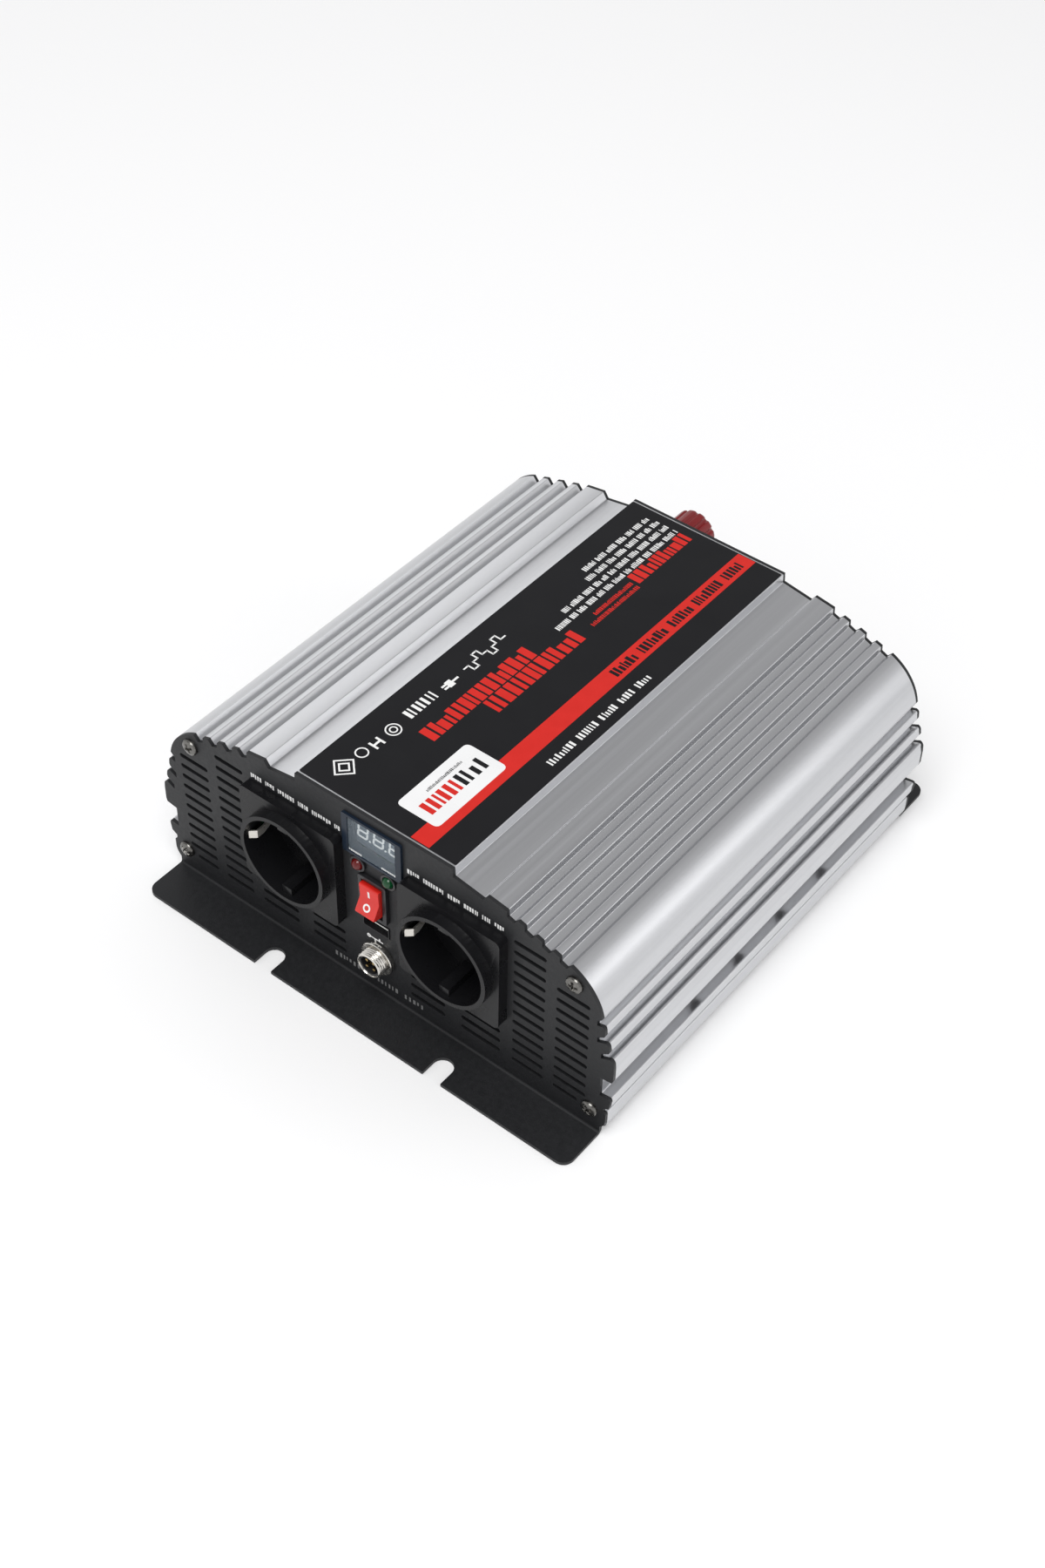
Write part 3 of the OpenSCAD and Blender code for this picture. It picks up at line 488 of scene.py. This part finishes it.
# %% Outline of the tray
TRAY = [[110, 15.55, 0.3], [110, 14.5, 0.3], [111.3, 14.5, 1.2], [111.3, 3, 6.9]]
TRAY_IN = [[-106.5, 15.55, 0.2], [-106.5, 5.2, 0.8], [106.5, 5.2, 0.8], [106.5, 15.55, 0.2]]
tray = rounded_outline(both_halves(TRAY) + TRAY_IN, 8)
piece("tray_extrusion", *along_y(tray, START, STOP), "case", "anodised_aluminium",
      crease=70, nodes=["base_tray"])

# %% [markdown]
# ## Plates and moulded parts with softened edges
# Powder coat rounds the cut edges of sheet metal, and moulds round plastic. These
# parts already have the right shape, so a copy of each gets its edges rounded by a
# bevel of a few tenths of a millimetre, which shows as a fine highlight.

# %% Soften what shows
SOFT = {"front_plate": 0.28, "rear_plate": 0.28, "left_socket": 0.35, "right_socket": 0.35,
        "earth_clips": 0.12, "display_window": 0.15, "led_holders": 0.25,
        "switch_housing": 0.3, "usb_shell": 0.1, "connector_nut": 0.2, "red_base": 0.5,
        "black_base": 0.5, "red_washer": 0.2, "black_washer": 0.2, "fan_frame": 0.3,
        "clamp_bars": 0.3, "transformer_cores": 0.5, "fuses": 0.3, "ground_terminal": 0.2}
OWN_FINISH = {"earth_clips": "clip_spring", "usb_shell": "black_screws"}
for node, width in SOFT.items():
    softened(node, width, material=OWN_FINISH.get(node))
NODES["usb_tongue"].data.materials[0] = FINISHES["white_plastic"]
print(len(SOFT), "parts softened")

# %% [markdown]
# ## Screws
# A cross-head screw is a low dome with a cross sunk into it. The head is a height
# over a polar grid: the dome falls with the square of the radius, and inside the
# cross the height drops towards the middle. The same rows run on down the rim and
# the shank, so each screw is one closed skin.

# %% One cross-head screw
def ease(x):
    """Smooth step: 0 below 0, 1 above 1, and 3x^2 - 2x^3 between."""
    x = np.clip(x, 0, 1)
    return x * x * (3 - 2 * x)


def cross_head(centre, outward, head_r, head_h, shank_r, length, turn, count=48):
    """(points, faces) of a screw with its head's underside at centre, in metres; other
    sizes in millimetres. The head rises along outward. The first rows are the dome, the
    others run round the rim, under the head and down the shank."""
    dome = np.linspace(0, head_r * 0.9, 15)
    rho = np.concatenate([dome, [head_r * 0.97, head_r, head_r, shank_r, shank_r, 0]])
    a = np.linspace(0, 2 * np.pi, count, endpoint=False)
    r, t = np.meshgrid(rho, a, indexing="ij")
    height = head_h * (1 - 0.38 * (r / head_r) ** 2)
    x, y = np.abs(r * np.cos(t + turn)), np.abs(r * np.sin(t + turn))
    arm, half = head_r * 0.56, head_r * 0.13
    cross = np.maximum(ease((half - y) / 0.25 + 0.5) * ease((arm - x) / 0.3 + 0.5),
                       ease((half - x) / 0.25 + 0.5) * ease((arm - y) / 0.3 + 0.5))
    height -= head_h * 0.62 * cross * (1 - 0.35 * r / arm)
    rim = [head_h * 0.50, head_h * 0.36, 0, 0, -length, -length]
    height[len(dome):] = np.array(rim)[:, None]
    w = np.asarray(outward, float)
    u = np.cross(w, [0, 0, 1.0] if abs(w[2]) < 0.9 else [1.0, 0, 0])
    u /= np.linalg.norm(u)
    v = np.cross(w, u)
    points = (r * np.cos(t))[..., None] * u + (r * np.sin(t))[..., None] * v + height[..., None] * w
    return points * MM + np.asarray(centre), cells(len(rho), count, wrap_cols=True)


BOSSES = [(94.5, 77), (104, 12.6)]
SIDE_SCREWS = (60, 89.5, 118.8, 148.5)
plate_set = [cross_head((s * x * MM, y, z * MM), (0, d, 0), 3.7, 2.0, 1.7, 12, 0.5 + 1.1 * i + s)
             for y, d in ((FRONT, -1), (REAR, 1)) for s in (-1, 1)
             for i, (x, z) in enumerate(BOSSES)]
piece("plate_screw_set", *join(*plate_set), "case", "zinc_screws", nodes=["plate_screws"])
side_set = [cross_head((s * 108 * MM, FRONT + y * MM, 28.5 * MM), (s, 0, 0), 3, 1.9, 1.45, 15, y)
            for s in (-1, 1) for y in SIDE_SCREWS]
piece("side_screw_set", *join(*side_set), "case", "black_screws", nodes=["clamp_screws"])
fan_lo, fan_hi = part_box("fan_frame")
fan_mid = (np.array(fan_lo) + np.array(fan_hi)) / 2
fan_set = [cross_head((fan_mid[0] + i * 30 * MM, REAR + 2.1 * MM, fan_mid[2] + j * 30 * MM),
                      (0, 1, 0), 3.6, 2.0, 1.9, 19, i + 2 * j) for i in (-1, 1) for j in (-1, 1)]
piece("fan_screw_set", *join(*fan_set), "case", "black_screws", nodes=["fan_screws"])
print(len(plate_set) + len(side_set) + len(fan_set), "cross-head screws")

# %% [markdown]
# ## Printing
# The film on top carries a red band, rows of heavy and of fine red marks, white
# lines of small marks, a few plain pictograms and a white sticker. They stand for the
# printing on such a case without saying anything: every "word" is a run of bars of
# different widths. Each print is a slab of ink a few hundredths of a millimetre
# thick, so it sits on the film as real ink does. The film lies lower than in the CAD
# by three inks, so the highest ink ends where the CAD does.

# %% Film and ink
INK = 0.03
FILM_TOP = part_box("top_label")[1][2] - 3 * INK * MM


def on_film(p):
    """(x, distance behind the front plate, height over the film) in mm to metres."""
    return np.stack([p[:, 0] * MM, FRONT + p[:, 1] * MM, FILM_TOP + p[:, 2] * MM], 1)


def on_front(p):
    """(x, z, height out of the front plate) in mm to metres."""
    return np.stack([p[:, 0] * MM, FRONT - p[:, 2] * MM, p[:, 1] * MM], 1)


def slab_of(x0, x1, y0, y1):
    """Corners of a rectangle."""
    return [[x0, y0], [x1, y0], [x1, y1], [x0, y1]]


def round_slab(x0, x1, y0, y1, r):
    """A rectangle with rounded corners."""
    return rounded_outline([[x0, y0, r], [x1, y0, r], [x1, y1, r], [x0, y1, r]], 7)


def word(lo, hi, start, stop, seed, fat=0.45, swap=False, pitch=0.42, group=0):
    """Bars between lo and hi across a line that runs from start to stop: their widths
    and gaps are drawn from a seeded generator and scaled to fill the run. With a group,
    a wider gap comes after about that many bars, as between words."""
    draw = np.random.default_rng(seed)
    size = abs(hi - lo)
    count = max(2, int(abs(stop - start) / (size * pitch)))
    width = draw.uniform(0.6, 1.4, count) * fat
    space = draw.uniform(0.7, 1.3, count) * (1 - fat)
    if group:
        breaks = np.cumsum(draw.integers(group - 2, group + 3, count))
        space[breaks[breaks < count - 1]] += 1.3
    edge = np.concatenate([[0], np.cumsum(np.stack([width, space], 1).ravel())[:-1]])
    edge = start + (stop - start) * edge / edge[-1]
    short = draw.choice([0, 0, 0, 0.25], count) * (hi - lo)
    bars = []
    for k in range(count):
        a, b = sorted((edge[2 * k], edge[2 * k + 1]))
        low, high = sorted((lo + short[k], hi))
        bars.append(slab_of(a, b, low, high) if swap else slab_of(low, high, a, b))
    return bars


def frame_of(outer, inner, place):
    """(points, faces) of a closed band between two outlines of equal length."""
    o, i = np.asarray(outer, float), np.asarray(inner, float)
    n = len(o)
    rows = [np.c_[o, np.zeros(n)], np.c_[o, np.full(n, INK)],
            np.c_[i, np.full(n, INK)], np.c_[i, np.zeros(n)]]
    return place(np.concatenate(rows)), cells(4, n, True, True)


def circle(x, y, r, count=40):
    """Points round a circle."""
    a = np.linspace(0, 2 * np.pi, count, endpoint=False)
    return np.stack([x + r * np.cos(a), y + r * np.sin(a)], 1)


def printed(name, outlines, material, place=on_film, lift=0.0, slot="printed_label", extra=()):
    """One piece of ink made of several flat outlines."""
    parts = [prism(o, INK, lambda p: place(p + [0, 0, lift])) for o in outlines]
    return piece(name, *join(*parts, *extra), "case", slot, material, crease=20)


film = round_slab(-38, 38, 2.2, 211.8, 0.8)
piece("label_film", *prism(film, 0.2, lambda p: on_film(p - [0, 0, 0.2])), "case",
      "printed_label", crease=20, nodes=["top_label"])
printed("label_red_band", [slab_of(16.5, 25.2, 2.5, 211.5)], "print_red")
heavy = word(-8.2, 0, 74, 129, 3, 0.74, pitch=0.46) + word(-16.8, -8.9, 46, 109, 4, 0.74, pitch=0.46)
heavy += word(-10.3, -3.7, 170, 207, 5, 0.74, pitch=0.46)
printed("label_heavy_marks", heavy, "print_red")
fine_red = word(-4.0, -2.0, 137, 168, 6, 0.6) + word(-7.4, -5.4, 143, 168, 7, 0.6)
printed("label_fine_red_marks", fine_red, "print_red")
fine = [(-13.6, 126, 207), (-18.3, 136, 207), (-23.0, 158, 207), (-27.7, 162, 206)]
fine_marks = []
for k, (x, y0, y1) in enumerate(fine):
    fine_marks += word(x, x + 2.6, y0, y1, 10 + k, 0.6, group=6)
fine_marks += word(30.6, 33.8, 64, 127, 20, 0.52, pitch=0.6, group=6)
printed("label_fine_marks", fine_marks, "print_white")
printed("label_band_marks", word(18.6, 23.2, 119, 206, 21, 0.62, pitch=0.5, group=7),
        "printed_label", lift=INK)

# %% Pictograms and sticker
def square_sign(x, y, half):
    """Outline of a square sign and the smaller square in it."""
    return [frame_of(circle(x, y, h * 1.414, 4), circle(x, y, (h - 0.7) * 1.414, 4),
                     on_film) for h in (half, half * 0.55)]


def rings(*circles):
    """Thin rings for each (x, y, r)."""
    return [frame_of(circle(x, y, r), circle(x, y, r - 0.6), on_film) for x, y, r in circles]


def steps(x0, y0, width, rise):
    """A stepped wave of rectangles: up, level, down, level, as a switched current."""
    w = 0.7
    levels = [0, 1, 0, -1, 0, 1, 0, -1, 0]
    bars, y = [], y0
    for k, level in enumerate(levels):
        x = x0 + rise * level
        bars.append(slab_of(x - w / 2, x + w / 2, y, y + width))
        if k + 1 < len(levels):
            to = x0 + rise * levels[k + 1]
            bars.append(slab_of(min(x, to) - w / 2, max(x, to) + w / 2, y + width - w / 2,
                                y + width + w / 2))
        y += width
    return bars


bridge = [slab_of(-27.4, -22.6, 29, 30), slab_of(-27.4, -22.6, 33, 34),
          slab_of(-25.5, -24.5, 30, 33)]
plug = [slab_of(-26.9, -23.1, 73, 76), slab_of(-26.3, -25.3, 70.5, 73),
        slab_of(-24.7, -23.7, 70.5, 73), slab_of(-25.5, -24.5, 76, 79.5)]
signs = steps(-26, 84, 2.9, 3.2) + word(-28.5, -23.5, 50, 66, 31, 0.5) + bridge + plug
printed("label_signs", signs, "print_white",
        extra=square_sign(-26, 14, 4) + rings((-26, 24, 2.8), (-25, 41, 3.4), (-25, 41, 1.8)))
printed("sticker", [round_slab(1.2, 21.2, 12, 53, 2.6)], "sticker_white", lift=INK)
printed("sticker_red_marks", word(8.6, 15.5, 16, 34, 41, 0.6), "print_red", lift=2 * INK)
printed("sticker_dark_marks", word(8.6, 15.5, 35.5, 49, 42, 0.5) + word(5.2, 6.6, 24, 44, 43, 0.5),
        "printed_label", lift=2 * INK)

# %% Marks on the front plate
front_marks = []
for s in (-1, 1):
    lo, hi = sorted((s * 16.6, s * 62))
    front_marks += word(81.2, 83.5, lo, hi, 50 + s, 0.64, swap=True, pitch=0.6, group=6)
fork = [slab_of(-3.2, 3.0, 30.9, 31.5), slab_of(0.8, 1.6, 31.5, 32.6),
        slab_of(-1.4, -0.6, 29.8, 30.9)]
printed("front_marks", front_marks + fork, "print_white", on_front, slot="black_powder_coat",
        extra=[frame_of(circle(-4.2, 31.2, 1.0), circle(-4.2, 31.2, 0.3), on_front)])
WINDOW_OUT = 0.89
lamp_marks = word(75.7, 76.7, -11.4, -5.2, 56, 0.6, swap=True)
lamp_marks += word(75.7, 76.7, 4.6, 11.4, 57, 0.6, swap=True)
printed("lamp_marks", lamp_marks, "print_white", on_front, lift=WINDOW_OUT, slot="display_lens")
lower_marks = word(6.2, 8.6, -22.8, 22.6, 55, 0.45, swap=True, pitch=0.9, group=7)
printed("front_lower_marks", lower_marks, "print_grey", on_front, slot="black_powder_coat")

# %% [markdown]
# ## Display
# Behind the tinted window sits a block with three figures of seven bars. The bars
# of a real figure are thin hexagons and lean a little to the right. All seven bars
# of each figure are drawn with a painted glow, so they show through the window, and
# the lean is a shear of x by height.

# %% Three figures
def bar(x, z, length, upright):
    """A hexagonal bar centred at x, z, its ends pointed."""
    half, tip = 0.45, length / 2
    shape = np.array([[-tip, 0], [-tip + half, half], [tip - half, half], [tip, 0],
                      [tip - half, -half], [-tip + half, -half]])
    return (shape[:, ::-1] if upright else shape) + [x, z]


def figure(x, z):
    """The seven bars of one figure, its middle at x, z: three level ones and the four
    upright ones between their ends, with their middles w across and h up or down."""
    w, h = 2.25, 1.62
    level = [bar(x, z + k * 2 * h, 4.3, False) for k in (-1, 0, 1)]
    upright = [bar(x + i * w, z + j * h, 3.1, True) for i in (-1, 1) for j in (-1, 1)]
    return level + upright


face_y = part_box("display_module")[0][1]
figure_z = 83.1
painted_glow_bars = []
for x in (-8.5, -0.8, 6.9):
    painted_glow_bars += figure(x, figure_z)
    painted_glow_bars.append(circle(x + 3.7, figure_z - 3.3, 0.5, 12))


def on_module(p):
    """Shear by height, then on to the front of the display block."""
    lean = p[:, 0] + 0.12 * (p[:, 1] - figure_z)
    return np.stack([lean * MM, face_y - p[:, 2] * MM, p[:, 1] * MM], 1)


# The bars carry the lit_segments finish, whose glow is painted light.
piece("display_figures", *join(*(prism(o, 0.12, on_module) for o in painted_glow_bars)), "case",
      "lit_segments", crease=20, nodes=["display_digits"])

# %% [markdown]
# ## Rocker
# The rocker is a glossy red moulding whose face is a shallow V. Its two ends carry
# the plain marks for on and off, a bar and a ring, which are printed on the faces
# and turn with it.

# %% Rocker and its marks
softened("rocker", 0.35, segments=3)
rocker_joint = next(j for j in frame["joints"] if j["name"] == "rocker_tip")
TILT = math.radians(-13)
HALF_FACE, FALL, MIDDLE = 6.2, 1.8, -4.6


def on_rocker(side):
    """Maps (x, distance from the middle line, height) on to one half of the V, whose end
    stands out by FALL over HALF_FACE millimetres. MIDDLE is the y of its middle line."""
    out = np.array([0, -HALF_FACE, -FALL * side]) / math.hypot(HALF_FACE, FALL)
    up = np.array([0, -FALL, HALF_FACE * side]) / math.hypot(HALF_FACE, FALL)
    turn = np.array([[1, 0, 0], [0, math.cos(TILT), -math.sin(TILT)],
                     [0, math.sin(TILT), math.cos(TILT)]])

    def place(p):
        local = p[:, :1] * [1, 0, 0] + [0, MIDDLE, 0] + p[:, 1:2] * up + (p[:, 2:3] + 0.01) * out
        return (local @ turn.T) * MM + np.array(rocker_joint["pos_m"])

    return place


on_mark = prism(slab_of(-0.45, 0.45, 1.6, 5.0), INK, on_rocker(1))
off_mark = frame_of(circle(0, 3.3, 1.7), circle(0, 3.3, 1.0), on_rocker(-1))
piece("rocker_marks", *join(on_mark, off_mark), "rocker", "red_rocker", "print_white", crease=20)

# %% [markdown]
# ## Threads
# A thread is a turned profile whose radius also depends on the angle: it drops by a
# cosine of place over pitch plus angle over one turn, so the groove climbs as it
# goes round. The same rows carry the smooth stretches, where the depth is zero.

# %% Threaded profile
def threaded(rows, pitch, centre, count=40):
    """(points, faces) of (radius, y, depth) rows turned about y, the radius less depth
    times half of one plus the cosine of the thread's phase."""
    row = np.asarray(rows, float)
    a = np.linspace(0, 2 * np.pi, count, endpoint=False)[None]
    phase = 2 * np.pi * row[:, 1:2] / pitch + a
    r = (row[:, :1] - row[:, 2:3] * (0.5 + 0.5 * np.cos(phase))) * MM
    points = np.stack([r * np.cos(a), np.repeat(row[:, 1:2] * MM, count, 1), r * np.sin(a)], -1)
    return points + np.asarray(centre), cells(len(row), count, False, True)


def run(radius, y0, y1, depth, per_mm=5):
    """Rows of a threaded stretch from y0 to y1."""
    y = np.linspace(y0, y1, int(abs(y1 - y0) * per_mm) + 1)
    return [(radius, v, depth) for v in y]


def stud(radius, y0, y1, depth, pitch, centre):
    """A threaded rod with chamfered ends."""
    rows = [(0, y0, 0), (radius - depth, y0, 0)] + run(radius, y0 + 0.6, y1 - 0.6, depth)
    return threaded(rows + [(radius - depth, y1, 0), (0, y1, 0)], pitch, centre)


TERMINAL_X = -25 * MM
TERMINALS = {"red": 70 * MM, "black": 30 * MM}
piece("terminal_studs", *join(*(stud(4, -18, 24, 0.65, 1.25, (TERMINAL_X, REAR, z))
                                for z in TERMINALS.values())),
      "case", "brass", crease=60, nodes=["dc_studs"])

# %% Remote connector's shell
CONNECTOR = (1 * MM, FRONT, 22.5 * MM)
barrel = [(4.9, 9, 0), (4.9, -6.7, 0), (5.1, -7, 0), (5.45, -7, 0)] + run(6, -6.7, -2.9, 0.45, 6)
barrel += [(5.6, -2.6, 0), (5.7, -2.4, 0), (7.5, -2.4, 0), (7.8, -2.1, 0), (7.8, -0.3, 0),
           (7.6, 0, 0), (6, 0, 0), (6, 9, 0), (4.9, 9, 0)]
piece("connector_shell", *threaded(barrel, 1.0, CONNECTOR, 56), "case", "nickel",
      crease=40, nodes=["connector_body"])
key = prism(slab_of(-0.8, 0.8, 4.0, 4.95), 3.2, lambda p: np.stack(
    [p[:, 0] * MM, -(2.6 + p[:, 2]) * MM, p[:, 1] * MM], 1) + CONNECTOR)
piece("connector_key", *key, "case", "black_plastic")
# A black ring on the barrel's inner wall: it stands for the black insert of such a connector and
# also paints the shade that darkens the inside of the barrel.
insert_and_shade_ring = [(4.86, -6.4), (4.86, -2.55), (4.25, -2.55), (4.25, -6.2), (4.45, -6.4), (4.86, -6.4)]
piece("connector_insert_and_shade", *turned(insert_and_shade_ring, CONNECTOR), "case", "black_plastic")

# %% [markdown]
# ## Terminal knobs
# The knobs are turned by hand, so they have flutes. The radius is a profile along y
# less a scallop in the angle, twelve times round, that fades out towards the ends.

# %% Fluted knob
KNOB = [(0, 30, 0), (5, 30, 0), (8.3, 30, 0), (9.1, 29.8, 0.4), (9.8, 29.4, 0.8), (10.2, 28.7, 1),
        (10.25, 28, 1), (10.25, 20, 1), (10.25, 11.4, 1), (10.15, 10.5, 0.8), (9.7, 10, 0.4),
        (8.9, 9.7, 0), (8.75, 9.4, 0), (8.75, 7.2, 0), (8.4, 6.85, 0), (4.5, 6.85, 0),
        (4.1, 7.2, 0), (4.1, 26, 0), (0, 26, 0)]


FLUTES, FLUTE_DEPTH = 12, 0.9


def knob(z, count=168):
    """(points, faces) of one knob from its rows of (radius, y, share of the full depth).
    A flute is the eased cosine of FLUTES times the angle, and 0 where that is negative."""
    row = np.asarray(KNOB)
    a = np.linspace(0, 2 * np.pi, count, endpoint=False)[None]
    scallop = ease(np.cos(FLUTES * a))
    r = (row[:, :1] - FLUTE_DEPTH * row[:, 2:3] * scallop) * MM
    points = np.stack([r * np.cos(a), np.repeat(row[:, 1:2] * MM, count, 1), r * np.sin(a)], -1)
    return points + [TERMINAL_X, REAR, z], cells(len(row), count, False, True)


for colour, z in TERMINALS.items():
    slot = "red_terminal" if colour == "red" else "black_plastic"
    piece(colour + "_fluted_knob", *knob(z), colour + "_knob", slot, nodes=[colour + "_knob"])
print("knobs", round(min(TERMINALS.values()), 3), "and", round(max(TERMINALS.values()), 3), "m high")

# %% [markdown]
# ## Fan
# The rotor is a cup with seven blades. A blade is a closed ring of points, a thin
# cambered section, carried out along the radius. Its chord leans less towards the
# tip, because the tip moves faster through the air than the root.

# %% Rotor
BLADES, ROOT, TIP = 7, 14.2, 31.8


def blade(angle, mid_y, steps_out=9, steps_round=18):
    """(points, faces) of one blade. s runs from root to tip, and a round the section:
    along the chord t = cos a, across it thickness times sin a plus camber (1 - t^2)."""
    s = np.linspace(0, 1, steps_out)[:, None]
    a = np.linspace(0, 2 * np.pi, steps_round, endpoint=False)[None]
    radius = ROOT + (TIP - ROOT) * s
    half = 7.0 + 2.2 * s
    lean = np.radians(44 - 16 * s)
    t = np.cos(a)
    across = 0.55 * np.sin(a) + 1.1 * (1 - t ** 2)
    round_it = half * t * np.cos(lean) - across * np.sin(lean)
    deep = half * t * np.sin(lean) + across * np.cos(lean)
    theta = angle + 0.18 * s ** 2 + round_it / radius
    radius = radius + 0 * theta
    points = np.stack([radius * np.cos(theta) * MM + fan_mid[0], deep * MM + mid_y + 0 * theta,
                       radius * np.sin(theta) * MM + fan_mid[2]], -1)
    last = (steps_out - 1) * steps_round
    caps = [list(range(steps_round)), list(range(last + steps_round - 1, last - 1, -1))]
    return points, [*cells(steps_out, steps_round, False, True), *caps]


blade_y = fan_mid[1] + 0.6 * MM
hub_in, hub_out = (fan_lo[1] + 2.6 * MM) / MM, (fan_hi[1] - 0.8 * MM) / MM
hub = [(0, hub_out), (12.8, hub_out), (13.9, hub_out - 0.3), (14.5, hub_out - 1.2),
       (14.5, hub_in), (13.3, hub_in), (13.3, hub_out - 1.6), (1.5, hub_out - 1.6),
       (1.5, hub_in - 1.5), (0, hub_in - 1.5)]
rotor = join(turned(hub, (fan_mid[0], 0, fan_mid[2])),
             *(blade(2 * np.pi * k / BLADES, blade_y) for k in range(BLADES)))
piece("fan_wheel", *rotor, "fan_rotor", "fan_plastic", nodes=["fan_rotor"])
disc = [(0, hub_out + 0.08), (11.2, hub_out + 0.08), (11.4, hub_out), (0, hub_out)]
piece("fan_disc", *turned(disc, (fan_mid[0], 0, fan_mid[2])), "fan_rotor", "fan_plastic",
      "plain_aluminium")

# %% Wire guard
def hoop(radius, wire, centre, count=72, around=10):
    """(points, faces) of a ring of wire: a circle carried round a larger one, about y."""
    a = np.linspace(0, 2 * np.pi, count, endpoint=False)[:, None]
    b = np.linspace(0, 2 * np.pi, around, endpoint=False)[None]
    r = radius + wire * np.cos(b)
    points = np.stack([r * np.cos(a), wire * np.sin(b) + 0 * a, r * np.sin(a)], -1) * MM
    return points + np.asarray(centre), cells(count, around, True, True)


def rod(p0, p1, wire, around=10):
    """(points, faces) of a straight wire with domed ends."""
    p0, p1 = np.asarray(p0, float), np.asarray(p1, float)
    axis = (p1 - p0) / np.linalg.norm(p1 - p0)
    u = np.cross(axis, [0, 1.0, 0])
    u /= np.linalg.norm(u)
    v = np.cross(axis, u)
    a = np.linspace(0, 2 * np.pi, around, endpoint=False)
    ring = (np.cos(a)[:, None] * u + np.sin(a)[:, None] * v) * wire * MM
    rows = [p0 + 0 * ring, p0 + axis * wire * 0.2 * MM + 0.7 * ring, p0 + axis * wire * MM + ring,
            p1 - axis * wire * MM + ring, p1 - axis * wire * 0.2 * MM + 0.7 * ring, p1 + 0 * ring]
    return np.stack(rows), cells(6, around, False, True)


WIRE, INWARD = 0.9, -1.3
centre = np.array([fan_mid[0], REAR + 2.4 * MM, fan_mid[2]])
wires = [hoop(r, WIRE, centre) for r in (9, 16, 23, 30)]
for i in (-1, 1):
    end = np.array([i, 0, 1]) * 39.5 / math.sqrt(2) * MM
    middle = centre + [0, INWARD * MM, 0]
    wires.append(rod(middle - end, middle + end, WIRE))
    wires += [hoop(3.1, WIRE, middle + np.array([30 * i, 0, 30 * j]) * MM, 32) for j in (-1, 1)]
piece("fan_wire_guard", *join(*wires), "case", "chromed_wire", nodes=["fan_guard"])
